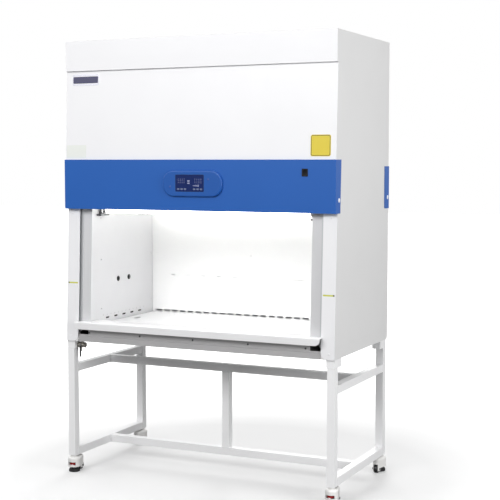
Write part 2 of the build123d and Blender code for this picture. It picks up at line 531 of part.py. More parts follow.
# Rear baffle with its bottom row of slots and a row of short slots higher up
with BuildPart() as rear_baffle:
    slab((-CHAMBER_HALF - SHEET, CHAMBER_HALF + SHEET), (BACK_Y, BACK_Y + SHEET), (WALL_LOW, CEILING))
    with BuildSketch(Plane.XZ.offset(-BACK_Y)):
        with Locations((0, TRAY_TOP + BAFFLE_RISE)):
            with GridLocations(BAFFLE_PITCH, 1, copies(2 * CHAMBER_HALF, BAFFLE_PITCH), 1):
                SlotOverall(BAFFLE_L, BAFFLE_H)
        with Locations((0, BODY_BOTTOM + DASH_RISE)):
            with GridLocations(DASH_PITCH, 1, copies(2 * CHAMBER_HALF - DASH_PITCH, DASH_PITCH), 1):
                SlotOverall(DASH_L, DASH_H)
    extrude(amount=-SHEET, mode=Mode.SUBTRACT)
finish(rear_baffle, "rear_baffle")

# Drain pan under the tray, with ledges for the tray, a side drain hole and the grey front wall
PAN_HALF = CHAMBER_HALF - EDGE_GAP
PAN_Y = behind(FLANGE_SET + SHEET + GAP, PAN_TOP)
PAN_LOW = BODY_BOTTOM + SHEET + GAP
SKIRT_TOP = ARMREST_TOP - ARMREST_DROP
CREASE_Z = BODY_BOTTOM + CREASE_RISE
with BuildPart() as drain_pan:
    slab((-PAN_HALF, PAN_HALF), (PAN_Y, BACK_Y - GAP), (PAN_LOW, PAN_TOP))
    slab((-PAN_HALF + SHEET, PAN_HALF - SHEET), (PAN_Y + SHEET, BACK_Y - GAP - SHEET), (PAN_LOW + SHEET, PAN_TOP),
         Mode.SUBTRACT)
    for side in (-1, 1):
        ledge = sorted((side * (PAN_HALF - SHEET), side * (PAN_HALF - RETURN)))
        slab(ledge, (PAN_Y + SHEET, BACK_Y - GAP - SHEET), (PAN_TOP - SHEET, PAN_TOP))
    disc(facing_right(-PAN_HALF, VALVE_Y, PIPE_Z), PIPE_R - PIPE_WALL, SHEET, Mode.SUBTRACT)
    leaning((SKIRT_GAP - COLUMN_IN, COLUMN_IN - SKIRT_GAP), (SKIRT_SET, SKIRT_SET + SHEET), (CREASE_Z, SKIRT_TOP))
    profile((SKIRT_GAP - COLUMN_IN, COLUMN_IN - SKIRT_GAP),
            [(behind(SKIRT_SET, CREASE_Z), CREASE_Z),
             (behind(SKIRT_SET - CREASE_STEP, CREASE_Z - CREASE_STEP), CREASE_Z - CREASE_STEP),
             (behind(SKIRT_SET - CREASE_STEP, BODY_BOTTOM), BODY_BOTTOM),
             (behind(SKIRT_SET - CREASE_STEP + SHEET, BODY_BOTTOM), BODY_BOTTOM),
             (behind(SKIRT_SET - CREASE_STEP + SHEET, CREASE_Z - CREASE_STEP), CREASE_Z - CREASE_STEP),
             (behind(SKIRT_SET + SHEET, CREASE_Z), CREASE_Z)])
    for side in (-1, 1):
        notch = sorted((side * (COLUMN_IN - NOTCH_W), side * COLUMN_IN))
        slab(notch, (FRONT_Y - ARMREST_REACH, PAN_Y), (SKIRT_TOP - NOTCH_H, SKIRT_TOP), Mode.SUBTRACT)
    slab((-PAN_HALF, PAN_HALF), (behind(SKIRT_SET - CREASE_STEP + SHEET / 2, PAN_LOW), PAN_Y + SHEET),
         (PAN_LOW, PAN_LOW + SHEET))
finish(drain_pan, "drain_pan")

# Work tray: plate with turned-down rims and two finger holes, lying on the pan's ledges
TRAY_HALF = CHAMBER_HALF - TRAY_GAP
INTAKE_Y = behind(FLANGE_SET, ARMREST_TOP) + GRILLE_DEPTH
TRAY_Y = (INTAKE_Y + TRAY_GAP, BACK_Y - TRAY_GAP)
with BuildPart() as work_tray:
    slab((-TRAY_HALF, TRAY_HALF), TRAY_Y, (TRAY_TOP - TRAY_RIM, TRAY_TOP))
    slab((-TRAY_HALF + TRAY_SHEET, TRAY_HALF - TRAY_SHEET), (TRAY_Y[0] + TRAY_SHEET, TRAY_Y[1] - TRAY_SHEET),
         (TRAY_TOP - TRAY_RIM, TRAY_TOP - TRAY_SHEET), Mode.SUBTRACT)
    with BuildSketch(Plane.XY.offset(TRAY_TOP - TRAY_SHEET)):
        with Locations((0, (TRAY_Y[0] + TRAY_Y[1]) / 2)):
            with GridLocations(2 * (TRAY_HALF - FINGER_L), 1, 2, 1):
                SlotOverall(FINGER_L, FINGER_W, rotation=90)
    extrude(amount=TRAY_SHEET, mode=Mode.SUBTRACT)
finish(work_tray, "work_tray")

# Armrest strip in front of the columns, with the intake grille behind it
ARM_Y = FRONT_Y - ARMREST_REACH
ARM_LOW = ARMREST_TOP - TRAY_SHEET
arm_half = COLUMN_IN + ARMREST_OVER
BEHIND_SASH = behind(FLANGE_SET - LIP - 2 * GAP, ARM_LOW)
with BuildPart() as armrest:
    slab((-arm_half, arm_half), (ARM_Y, ARM_Y + TRAY_SHEET), (ARMREST_TOP - ARMREST_DROP, ARMREST_TOP))
    fillet(armrest.edges().filter_by(Axis.Y).group_by(Axis.Z)[0], ARMREST_ROUND)
    slab((-arm_half, arm_half), (ARM_Y, face_y(ARMREST_TOP) - GAP), (ARM_LOW, ARMREST_TOP))
    fillet(armrest.edges().filter_by(Axis.X).group_by(Axis.Z)[-1].sort_by(Axis.Y)[0], ARMREST_BEND)
    slab((-COLUMN_IN + EDGE_GAP, COLUMN_IN - EDGE_GAP), (face_y(ARMREST_TOP) - GAP, BEHIND_SASH), (ARM_LOW, ARMREST_TOP))
    slab((-PAN_HALF, PAN_HALF), (BEHIND_SASH, INTAKE_Y), (ARM_LOW, ARMREST_TOP))
    slab((-PAN_HALF, PAN_HALF), (INTAKE_Y - TRAY_SHEET, INTAKE_Y), (PAN_TOP + GAP, ARMREST_TOP))
    with BuildSketch(Plane.XY.offset(ARM_LOW)):
        with Locations((0, INTAKE_Y - GRILLE_DEPTH / 2)):
            with GridLocations(INTAKE_PITCH, 1, copies(2 * (CHAMBER_HALF - INTAKE_MARGIN), INTAKE_PITCH), 1):
                SlotOverall(INTAKE_L, INTAKE_W, rotation=90)
    extrude(amount=TRAY_SHEET, mode=Mode.SUBTRACT)
finish(armrest, "armrest")

# Chamber ceiling: a perforated sheet from the sash to the rear baffle
with BuildPart() as supply_diffuser:
    slab((-CHAMBER_HALF + GAP, CHAMBER_HALF - GAP), (behind(FLANGE_SET, CEILING), BACK_Y - GAP),
         (CEILING - SHEET, CEILING))
    with BuildSketch(Plane.XY.offset(CEILING - SHEET)):
        with Locations((0, (PLENUM_Y + BACK_Y) / 2)):
            with GridLocations(VENT_PITCH, VENT_PITCH, copies(2 * (CHAMBER_HALF - VENT_MARGIN), VENT_PITCH),
                               copies(BACK_Y - PLENUM_Y - 2 * VENT_MARGIN, VENT_PITCH)):
                Circle(VENT_R)
    extrude(amount=SHEET, mode=Mode.SUBTRACT)
finish(supply_diffuser, "supply_diffuser")

# Lamps: end holders on the inner walls, with the tubes between them
holder_z = BODY_BOTTOM + LAMP_RISE
lamp_z = holder_z + HOLDER_H + LAMP_R + LAMP_CLEAR
lamp_half = CHAMBER_HALF - LAMP_END
lamp_rows = (FRONT_Y + LAMP_FRONT, BACK_Y - LAMP_BACK)
with BuildPart() as lamp_holders:
    for lamp_y in lamp_rows:
        slab((CHAMBER_HALF - HOLDER_T, CHAMBER_HALF - GAP), (lamp_y - HOLDER_D / 2, lamp_y + HOLDER_D / 2),
             (holder_z, holder_z + HOLDER_H))
        slab((lamp_half + GAP, CHAMBER_HALF - GAP), (lamp_y - LAMP_R, lamp_y + LAMP_R),
             (holder_z + HOLDER_H, lamp_z + LAMP_R))
    mirror(about=Plane.YZ)
finish(lamp_holders, "lamp_holders")

with BuildPart() as lamp_tubes:
    for lamp_y in lamp_rows:
        disc(facing_right(-lamp_half, lamp_y, lamp_z), LAMP_R, 2 * lamp_half)
finish(lamp_tubes, "lamp_tubes")

# Pressure plenum: front, rear and side walls, blower deck, and top deck with the exhaust opening
PLENUM_LOW = CEILING + GAP
BLOWER_DECK = CEILING + FILTER_T + PLENUM_SPACE
with BuildPart() as plenum_box:
    slab((-PLENUM_HALF, PLENUM_HALF), (PLENUM_Y, BACK_Y), (PLENUM_LOW, DECK_Z))
    slab((-PLENUM_HALF + SHEET, PLENUM_HALF - SHEET), (PLENUM_Y + SHEET, BACK_Y - SHEET), (PLENUM_LOW, DECK_Z - SHEET),
         Mode.SUBTRACT)
    slab((-PLENUM_HALF, PLENUM_HALF), (PLENUM_Y, BACK_Y), (PLENUM_LOW, PLENUM_LOW + SHEET))
    slab((-PLENUM_HALF + RETURN, PLENUM_HALF - RETURN), (PLENUM_Y + RETURN, BACK_Y - RETURN),
         (PLENUM_LOW, PLENUM_LOW + SHEET), Mode.SUBTRACT)
    slab((-PLENUM_HALF + SHEET, PLENUM_HALF - SHEET), (PLENUM_Y + SHEET, BACK_Y - SHEET),
         (BLOWER_DECK, BLOWER_DECK + SHEET))
    slab((SCROLL_WALL - SCROLL_W / 2, SCROLL_W / 2 - SCROLL_WALL),
         (EXHAUST_Y + OUTLET_IN + SCROLL_WALL, EXHAUST_Y + SCROLL_R - SCROLL_WALL),
         (BLOWER_DECK, BLOWER_DECK + SHEET), Mode.SUBTRACT)
    slab((-EXHAUST_HALF_X, EXHAUST_HALF_X), (EXHAUST_Y - EXHAUST_HALF_Y, EXHAUST_Y + EXHAUST_HALF_Y),
         (DECK_Z - SHEET, DECK_Z), Mode.SUBTRACT)
finish(plenum_box, "plenum_box")


def filter_block(x_half, y_limits, low):
    """Filter in the open part: an open frame with a slab of media across its middle."""
    slab((-x_half, x_half), y_limits, (low, low + FILTER_T))
    slab((-x_half + FILTER_RIM, x_half - FILTER_RIM), (y_limits[0] + FILTER_RIM, y_limits[1] - FILTER_RIM),
         (low, low + (FILTER_T - FILTER_MEDIA) / 2), Mode.SUBTRACT)
    slab((-x_half + FILTER_RIM, x_half - FILTER_RIM), (y_limits[0] + FILTER_RIM, y_limits[1] - FILTER_RIM),
         (low + (FILTER_T + FILTER_MEDIA) / 2, low + FILTER_T), Mode.SUBTRACT)


with BuildPart() as hepa_filters:
    filter_block(PLENUM_HALF - SHEET - GAP, (PLENUM_Y + SHEET + GAP, BACK_Y - SHEET - GAP), PLENUM_LOW + SHEET + GAP)
    filter_block(EXHAUST_HALF_X + FILTER_RIM,
                 (EXHAUST_Y - EXHAUST_HALF_Y - FILTER_RIM, EXHAUST_Y + EXHAUST_HALF_Y + FILTER_RIM), DECK_Z + GAP)
finish(hepa_filters, "hepa_filters")

# Blower: scroll on the blower deck, with the motor carried on arms in one inlet
BLOWER_RISE = SCROLL_R + SCROLL_CLEAR
BLOWER_Z = BLOWER_DECK + SHEET + BLOWER_RISE
blower_end = facing_right(-SCROLL_W / 2, EXHAUST_Y, BLOWER_Z)
motor_end = blower_end.offset(SCROLL_W - MOTOR_IN)
with BuildPart() as blower_housing:
    for wall, mode in ((0, Mode.ADD), (SCROLL_WALL, Mode.SUBTRACT)):
        with BuildSketch(blower_end.offset(wall)):
            Circle(SCROLL_R - wall)
            with Locations(((OUTLET_IN + SCROLL_R) / 2, (GAP - wall - BLOWER_RISE) / 2)):
                Rectangle(SCROLL_R - OUTLET_IN - 2 * wall, BLOWER_RISE - GAP + wall)
        extrude(amount=SCROLL_W - 2 * wall, mode=mode)
    disc(blower_end, INLET_R, SCROLL_W, Mode.SUBTRACT)
    disc(motor_end, MOTOR_R, MOTOR_L)
    with BuildSketch(blower_end.offset(SCROLL_W - SCROLL_WALL)):
        with PolarLocations((MOTOR_R + INLET_R) / 2, 3):
            Rectangle(INLET_R - MOTOR_R + ARM_OVER, MOTOR_ARM)
    extrude(amount=2 * SCROLL_WALL)
    disc(motor_end, MOTOR_SHAFT_R + RUN, MOTOR_L / 2, Mode.SUBTRACT)
finish(blower_housing, "blower_housing")

# Double-inlet wheel: blades between two rings and a middle disc, on the motor shaft
wheel_start = blower_end.offset((SCROLL_W - IMPELLER_W) / 2 - MOTOR_IN / 2)
with BuildPart() as blower_impeller:
    with BuildSketch(wheel_start):
        with PolarLocations(IMPELLER_R - BLADE_DEEP / 2 - BLADE_IN, BLADES):
            Rectangle(BLADE_DEEP, BLADE_T)
    extrude(amount=IMPELLER_W)
    for ring_place in (0, IMPELLER_W - RING_T):
        with BuildSketch(wheel_start.offset(ring_place)):
            Circle(IMPELLER_R)
            Circle(IMPELLER_R - BLADE_DEEP + BLADE_IN, mode=Mode.SUBTRACT)
        extrude(amount=RING_T)
    disc(wheel_start.offset(IMPELLER_W / 2), IMPELLER_R - BLADE_DEEP / 2, RING_T)
    disc(wheel_start.offset(IMPELLER_W / 2), HUB_R, HUB_L)
    disc(wheel_start.offset(IMPELLER_W / 2), MOTOR_SHAFT_R, SCROLL_W / 2 + MOTOR_IN)
finish(blower_impeller, "blower_impeller")

# Sash glass, with its rails and belt clamps
glass_half = COLUMN_IN + GLASS_EDGE
with BuildPart() as sash_glass:
    sash_block((-glass_half, glass_half), (0, GLASS_H), (-GLASS_T / 2, GLASS_T / 2))
finish(sash_glass, "sash_glass")

rail_half = COLUMN_IN - GUIDE_IN - RAIL_END
glass_slot = GLASS_T / 2 + GLASS_FIT
BELT_X = rail_half - BELT_INSET
BELT_SET = RAIL_T / 2 + BELT_CLEAR
TOP_RAIL = GLASS_H - RAIL_OVER
with BuildPart() as sash_rails:
    sash_block((-rail_half, rail_half), (-RAIL_T / 2, RAIL_H), (-RAIL_T / 2, RAIL_T / 2))
    sash_block((-rail_half, rail_half), (TOP_RAIL, GLASS_H + RAIL_T / 2), (-RAIL_T / 2, RAIL_T / 2))
    for side in (-1, 1):
        clamp = (side * BELT_X - CLAMP_W / 2, side * BELT_X + CLAMP_W / 2)
        sash_block(clamp, (TOP_RAIL, TOP_RAIL + CLAMP_H), (RAIL_T / 2, BELT_SET + BELT_T + CLAMP_WALL))
        slit = (side * BELT_X - BELT_W / 2 - GAP, side * BELT_X + BELT_W / 2 + GAP)
        sash_block(slit, (TOP_RAIL, TOP_RAIL + CLAMP_H),
                   (BELT_SET - BELT_T / 2 - GAP, BELT_SET + BELT_T / 2 + GAP), Mode.SUBTRACT)
    sash_block((-glass_half, glass_half), (0, GLASS_H), (-glass_slot, glass_slot), Mode.SUBTRACT)
finish(sash_rails, "sash_rails")

# Drive shaft with two pulleys, and the lower idler pulleys
PLATE_X = GUIDE_EDGE + PLATE_OUT
BELT_IN = PULLEY_R + GAP
AXIS_AHEAD = BELT_SET + BELT_IN + BELT_T / 2
SHAFT_HALF = PLATE_X + PLATE_T + SHAFT_END


def pulley(x, rise):
    """Pulley with two rims, centred at X on an axis given by its rise along the sash."""
    disc(across(x - PULLEY_W / 2, rise, AXIS_AHEAD), PULLEY_R, PULLEY_W)
    for rim_x in (x - PULLEY_W / 2, x + PULLEY_W / 2 - RIM_T):
        disc(across(rim_x, rise, AXIS_AHEAD), PULLEY_R + PULLEY_RIM, RIM_T)


with BuildPart() as drive_shaft:
    disc(across(-SHAFT_HALF, SHAFT_RISE, AXIS_AHEAD), SHAFT_R, 2 * SHAFT_HALF + GEAR_HOLD)
    for side in (-1, 1):
        pulley(side * BELT_X, SHAFT_RISE)
finish(drive_shaft, "drive_shaft")

with BuildPart() as idler_pulleys:
    for side in (-1, 1):
        pulley(side * BELT_X, IDLER_RISE)
        disc(across(side * BELT_X - PULLEY_W / 2, IDLER_RISE, AXIS_AHEAD), SHAFT_R + RUN, PULLEY_W, Mode.SUBTRACT)
finish(idler_pulleys, "idler_pulleys")

with BuildPart() as drive_belts:
    loop_middle = (SHAFT_RISE + IDLER_RISE) / 2
    for side in (-1, 1):
        with BuildSketch(across(side * BELT_X - BELT_W / 2, loop_middle, AXIS_AHEAD)):
            SlotCenterToCenter(SHAFT_RISE - IDLER_RISE, 2 * (BELT_IN + BELT_T))
            SlotCenterToCenter(SHAFT_RISE - IDLER_RISE, 2 * BELT_IN, mode=Mode.SUBTRACT)
        extrude(amount=BELT_W)
finish(drive_belts, "drive_belts")

# Brackets on the wall flanges for the shaft and the idlers, with the gear motor
PLATE_AHEAD = (SASH_SET - FLANGE_SET, AXIS_AHEAD + PLATE_EDGE)
STUB_L = PLATE_X - BELT_X + PULLEY_W
GEAR_X = (PLATE_X + PLATE_T, PLATE_X + PLATE_T + GEAR_W)
with BuildPart() as sash_motor:
    for side in (-1, 1):
        plate_x = sorted((side * PLATE_X, side * (PLATE_X + PLATE_T)))
        for rise in (SHAFT_RISE, IDLER_RISE):
            sash_block(plate_x, (rise - PLATE_EDGE, rise + PLATE_EDGE), PLATE_AHEAD)
        stub_start = min(side * PLATE_X, side * (PLATE_X - STUB_L))
        disc(across(stub_start, IDLER_RISE, AXIS_AHEAD), SHAFT_R, STUB_L)
    sash_block(GEAR_X, (SHAFT_RISE - GEAR_H, SHAFT_RISE + PLATE_EDGE),
               (AXIS_AHEAD - GEAR_BACK, AXIS_AHEAD + GEAR_FRONT))
    motor_axis = sash_plane(SHAFT_RISE - GEAR_H, AXIS_AHEAD - (GEAR_BACK - GEAR_FRONT) / 2).origin
    motor_top = Plane(origin=((GEAR_X[0] + GEAR_X[1]) / 2, motor_axis.Y, motor_axis.Z), x_dir=(1, 0, 0),
                      z_dir=(0, -SQUARE * SLOPE, -SQUARE))
    disc(motor_top, GEAR_MOTOR_R, GEAR_MOTOR_L)
    disc(across(-SHAFT_HALF, SHAFT_RISE, AXIS_AHEAD), SHAFT_R + RUN, 2 * SHAFT_HALF + GEAR_HOLD, Mode.SUBTRACT)
finish(sash_motor, "sash_motor")

# Caster heights, which set the leg's foot
DOME_LOW = PAD_H + PAD_CAP + FOOT_UP + LIFT_SPARE
THUMB_LOW = DOME_LOW + THUMB_RISE
CAVITY_TOP = THUMB_LOW + THUMB_H + THUMB_OVER
SCREW_TOP = CAVITY_TOP + SCREW_HELD
DOME_TOP = SCREW_TOP + FOOT_UP + CROWN
LEG_BOTTOM = DOME_TOP + STEM_HEAD_H + GAP

# Stand: two side frames of square tube with their top blocks
LOWER_RAIL_TOP = LEG_BOTTOM + TUBE
UPPER_RAIL_TOP = BODY_BOTTOM - RAIL_DROP
LEG_X = HALF - TUBE / 2
LEG_FRONT = FRONT_Y - LEG_LEAD + TUBE / 2
LEG_REAR = REAR_Y - LEG_INSET - TUBE / 2
LEG_TOP = BODY_BOTTOM - BLOCK_H
LEG_IN = TUBE / 2 - TUBE_WALL
with BuildPart() as stand_frames:
    for leg_y, block_y in ((LEG_FRONT, (LEG_FRONT - TUBE / 2, LEG_FRONT - TUBE / 2 + BLOCK_D)),
                           (LEG_REAR, (LEG_REAR + TUBE / 2 - BLOCK_D, LEG_REAR + TUBE / 2))):
        slab((LEG_X - TUBE / 2, LEG_X + TUBE / 2), (leg_y - TUBE / 2, leg_y + TUBE / 2), (LEG_BOTTOM, LEG_TOP))
        slab((LEG_X - LEG_IN, LEG_X + LEG_IN), (leg_y - LEG_IN, leg_y + LEG_IN),
             (LEG_BOTTOM + FOOT_PLATE, LEG_TOP - TUBE_WALL), Mode.SUBTRACT)
        slab((HALF - BLOCK_W, HALF), block_y, (LEG_TOP, BODY_BOTTOM))
        disc(Plane((LEG_X, leg_y, LEG_BOTTOM)), STEM_R + RUN, FOOT_PLATE, Mode.SUBTRACT)
    rail_y = (LEG_FRONT + TUBE / 2, LEG_REAR - TUBE / 2)
    for rail_top in (LOWER_RAIL_TOP, UPPER_RAIL_TOP):
        slab((LEG_X - TUBE / 2, LEG_X + TUBE / 2), rail_y, (rail_top - TUBE, rail_top))
        slab((LEG_X - LEG_IN, LEG_X + LEG_IN), rail_y, (rail_top - TUBE + TUBE_WALL, rail_top - TUBE_WALL),
             Mode.SUBTRACT)
    mirror(about=Plane.YZ)
finish(stand_frames, "stand_frames")

BEAM_HALF = LEG_X - TUBE / 2
BEAM_Y = (LEG_FRONT + LEG_REAR) / 2
with BuildPart() as stand_beams:
    for high in (LOWER_RAIL_TOP, UPPER_RAIL_TOP):
        slab((-BEAM_HALF, BEAM_HALF), (BEAM_Y - TUBE / 2, BEAM_Y + TUBE / 2), (high - TUBE, high))
        slab((-BEAM_HALF + TUBE_WALL, BEAM_HALF - TUBE_WALL), (BEAM_Y - LEG_IN, BEAM_Y + LEG_IN),
             (high - TUBE + TUBE_WALL, high - TUBE_WALL), Mode.SUBTRACT)
    slab((-TUBE / 2, TUBE / 2), (BEAM_Y - TUBE / 2, BEAM_Y + TUBE / 2), (LOWER_RAIL_TOP, UPPER_RAIL_TOP - TUBE))
    slab((-LEG_IN, LEG_IN), (BEAM_Y - LEG_IN, BEAM_Y + LEG_IN), (LOWER_RAIL_TOP, UPPER_RAIL_TOP - TUBE),
         Mode.SUBTRACT)
finish(stand_beams, "stand_beams")

# Casters. At the front the wheels trail to the rear, and at the rear to the front.
TRAIL = PAD_R + PAD_CLEAR + WHEEL_R
CAVITY_R = THUMB_R + THUMB_CLEAR
DOME_R = CAVITY_R + DOME_WALL
FORK_GAP = WHEEL_W / 2 + WHEEL_SIDE
TAIL_R = FORK_GAP + CHEEK
CASTERS = {"front_left": (-LEG_X, LEG_FRONT, 1), "front_right": (LEG_X, LEG_FRONT, 1),
           "rear_left": (-LEG_X, LEG_REAR, -1), "rear_right": (LEG_X, LEG_REAR, -1)}


def level(corner, height):
    """Horizontal plane at a caster, with its X the way the wheel trails."""
    x, y, trail = corner
    return Plane(origin=(x, y, height), x_dir=(0, trail, 0), z_dir=(0, 0, 1))


def wheel_side(corner, shift):
    """Plane square to the axle, at a distance from the wheel's middle."""
    x, y, trail = corner
    return facing_right(x + shift, y + trail * TRAIL, WHEEL_R)


def caster_housing(corner):
    """Domed casting with the wheel fork, the axle and the swivel stem."""
    with BuildPart() as housing:
        with BuildSketch(level(corner, DOME_LOW)):
            Circle(DOME_R)
            with Locations((TRAIL, 0)):
                Circle(TAIL_R)
            make_hull()
        extrude(amount=DOME_TOP - DOME_LOW)
        fillet(housing.faces().sort_by(Axis.Z)[-1].edges(), DOME_ROUND)
        with BuildSketch(level(corner, FORK_LOW)):
            with Locations((TRAIL, 0)):
                Circle(TAIL_R)
            with Locations((TRAIL - TAIL_R / 2, 0)):
                Rectangle(TAIL_R, 2 * TAIL_R)
        extrude(amount=WHEEL_R)
        with BuildSketch(level(corner, FORK_LOW)):
            with Locations((TRAIL + TAIL_R, 0)):
                Rectangle(2 * (WHEEL_R + TAIL_R + 2 * WHEEL_SIDE), 2 * FORK_GAP)
        extrude(amount=2 * WHEEL_R + 2 * WHEEL_SIDE - FORK_LOW, mode=Mode.SUBTRACT)
        disc(level(corner, DOME_LOW), CAVITY_R, CAVITY_TOP - DOME_LOW, Mode.SUBTRACT)
        with BuildSketch(level(corner, THUMB_LOW - WINDOW_EDGE)):
            with Locations((-DOME_R, 0)):
                Rectangle(DOME_R, 2 * THUMB_R)
        extrude(amount=THUMB_H + 2 * WINDOW_EDGE, mode=Mode.SUBTRACT)
        disc(level(corner, DOME_TOP), STEM_HEAD_R, STEM_HEAD_H)
        disc(level(corner, DOME_TOP), STEM_R, LEG_BOTTOM + FOOT_PLATE + STEM_UP - DOME_TOP)
        disc(level(corner, CAVITY_TOP), SCREW_R + RUN, SCREW_HELD + FOOT_UP + LIFT_SPARE, Mode.SUBTRACT)
        disc(wheel_side(corner, AXLE_IN - TAIL_R), AXLE_R, 2 * (TAIL_R - AXLE_IN))
    return housing


def caster_wheel(corner):
    """Wheel with rounded edges, bored for the axle."""
    with BuildPart() as wheel:
        disc(wheel_side(corner, -WHEEL_W / 2), WHEEL_R, WHEEL_W)
        fillet(wheel.edges(), WHEEL_EDGE)
        disc(wheel_side(corner, -WHEEL_W / 2), AXLE_R + RUN, WHEEL_W, Mode.SUBTRACT)
    return wheel


def caster_thumbwheel(corner):
    """Scalloped wheel on the levelling screw."""
    with BuildPart() as thumb:
        disc(level(corner, THUMB_LOW), THUMB_R, THUMB_H)
        with BuildSketch(level(corner, THUMB_LOW)):
            with PolarLocations(THUMB_R + SCALLOP_OUT, SCALLOPS):
                Circle(SCALLOP_R)
        extrude(amount=THUMB_H, mode=Mode.SUBTRACT)
        disc(level(corner, THUMB_LOW), SCREW_R + RUN, THUMB_H, Mode.SUBTRACT)
    return thumb


def caster_foot(corner):
    """Levelling pad with its screw."""
    with BuildPart() as foot:
        disc(level(corner, 0), PAD_R, PAD_H)
        fillet(foot.edges().group_by(Axis.Z)[0], PAD_EDGE)
        disc(level(corner, PAD_H), PAD_R - PAD_STEP, PAD_CAP)
        disc(level(corner, PAD_H), SCREW_R, SCREW_TOP - PAD_H)
    return foot


for place, corner in CASTERS.items():
    finish(caster_housing(corner), f"caster_{place}")
    finish(caster_wheel(corner), f"wheel_{place}")
    finish(caster_thumbwheel(corner), f"thumbwheel_{place}")
    finish(caster_foot(corner), f"foot_{place}")

# Drain valve: pipe from the pan's side down through the base, valve body and outlet spout
SPOUT_X = VALVE_X + VALVE_STEP
SPOUT_LOW = VALVE_Z - VALVE_R - SPOUT_L
with BuildPart() as drain_valve:
    disc(facing_right(-PIPE_X, VALVE_Y, PIPE_Z), PIPE_R, PIPE_X - PAN_HALF)
    disc(Plane((-PIPE_X, VALVE_Y, VALVE_Z)), PIPE_R, PIPE_Z + PIPE_R - VALVE_Z)
    disc(facing_right(-VALVE_X - VALVE_L / 2, VALVE_Y, VALVE_Z), VALVE_R, VALVE_L)
    disc(Plane((-SPOUT_X, VALVE_Y, SPOUT_LOW)), SPOUT_R, SPOUT_L + VALVE_R)
    disc(Plane((-SPOUT_X, VALVE_Y, SPOUT_LOW + SPOUT_L - COLLAR_T)), SPOUT_R + COLLAR_OUT, COLLAR_T + VALVE_R)
    disc(facing_right(-PIPE_X, VALVE_Y, PIPE_Z), PIPE_R - PIPE_WALL, PIPE_X - PAN_HALF, Mode.SUBTRACT)
    disc(Plane((-PIPE_X, VALVE_Y, VALVE_Z)), PIPE_R - PIPE_WALL, PIPE_Z - VALVE_Z, Mode.SUBTRACT)
    disc(Plane((-SPOUT_X, VALVE_Y, SPOUT_LOW)), SPOUT_R - PIPE_WALL, SPOUT_L + VALVE_R / 2, Mode.SUBTRACT)
    disc(facing_front(-VALVE_X, VALVE_Y - VALVE_R + PIPE_WALL, VALVE_Z), LEVER_PIN_R, PIPE_WALL + 2 * LEVER_T)
finish(drain_valve, "drain_valve")

# The lever hangs square to the valve body when the valve is closed
with BuildPart() as drain_lever:
    with BuildSketch(facing_front(-VALVE_X, VALVE_Y - VALVE_R - GAP, VALVE_Z)):
        SlotCenterPoint((0, -LEVER_L / 2), (0, 0), LEVER_W)
        Circle(LEVER_BOSS)
        Circle(LEVER_PIN_R + RUN, mode=Mode.SUBTRACT)
    extrude(amount=LEVER_T)
finish(drain_lever, "drain_lever")
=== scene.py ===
import json
from math import cos, pi, radians, sin, tan

import bmesh
import bpy
from mathutils import Matrix, Vector


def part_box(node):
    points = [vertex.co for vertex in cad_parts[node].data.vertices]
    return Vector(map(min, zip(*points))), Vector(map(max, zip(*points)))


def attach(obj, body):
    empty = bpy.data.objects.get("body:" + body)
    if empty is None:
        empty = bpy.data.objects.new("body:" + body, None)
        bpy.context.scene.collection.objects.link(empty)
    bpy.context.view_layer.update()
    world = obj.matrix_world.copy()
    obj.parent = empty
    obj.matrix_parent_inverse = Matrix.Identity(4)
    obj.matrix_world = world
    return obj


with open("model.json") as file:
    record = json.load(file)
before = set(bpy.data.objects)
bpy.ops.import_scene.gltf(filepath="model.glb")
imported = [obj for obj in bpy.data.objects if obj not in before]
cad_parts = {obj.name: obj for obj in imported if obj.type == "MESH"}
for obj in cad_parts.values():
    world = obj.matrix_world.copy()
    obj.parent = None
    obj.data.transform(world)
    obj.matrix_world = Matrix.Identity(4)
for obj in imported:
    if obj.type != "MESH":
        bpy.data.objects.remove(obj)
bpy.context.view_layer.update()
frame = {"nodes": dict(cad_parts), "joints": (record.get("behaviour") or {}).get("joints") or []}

# Thickness of the steel sheet, in metres
SHEET = 0.0015

# Planes of the cabinet and places of its joints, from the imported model
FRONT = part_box("front_cap")[0].y
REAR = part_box("rear_panel")[1].y
BAND_LOW, BAND_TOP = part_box("control_band")[0].z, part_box("control_band")[1].z
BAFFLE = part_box("rear_baffle")[0].y
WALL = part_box("rear_baffle")[1].x - SHEET
JOINT_AT = {joint["name"]: joint["pos_m"] for joint in frame["joints"] if "pos_m" in joint}

# The front leans back by a small angle, columns below the band and panel above it
LEAN = radians(2.5)
COLUMN_SETBACK, PANEL_PROUD = 0.010, 0.008

SIDES = (-1, 1)
CORNERS = ("front_left", "front_right", "rear_left", "rear_right")
UP, BACKWARD, RIGHT = (0, 0, 1), (0, 1, 0), (1, 0, 0)
FORWARD, LEFT = (0, -1, 0), (-1, 0, 0)
LEANING = (0, -cos(LEAN), sin(LEAN))


def column_y(z):
    """Y of the columns' leaning face at a height."""
    return FRONT + COLUMN_SETBACK - (BAND_LOW - z) * tan(LEAN)


def panel_y(z):
    """Y of the front panel's face at a height."""
    return FRONT - PANEL_PROUD + (z - BAND_TOP) * tan(LEAN)


# Colours
def linear(red, green, blue):
    """Scene colour from 8-bit display values."""
    channels = []
    for value in (red, green, blue):
        share = value / 255
        channels.append(share / 12.92 if share <= 0.04045 else ((share + 0.055) / 1.055) ** 2.4)
    return (*channels, 1.0)


def shaded(color, factor):
    """The same colour, lighter or darker."""
    return (*[min(1.0, channel * factor) for channel in color[:3]], 1.0)


# Materials
COAT_ROUGHNESS, SMOOTHEST = 0.12, 0.02
BUMP_DEPTH = 0.0006
BLOTCH_LIMITS = (0.3, 0.7)
WORN_TINT, EDGE_LIMITS = 1.5, (0.52, 0.60)
# Painted shade in corners: how dark the colour gets, how far the ambient occlusion reaches, and its limits
CORNER_SHADE_TINT, CORNER_REACH, CORNER_LIMITS = 0.45, 0.03, (0.2, 0.9)
WHITE = (1, 1, 1, 1)


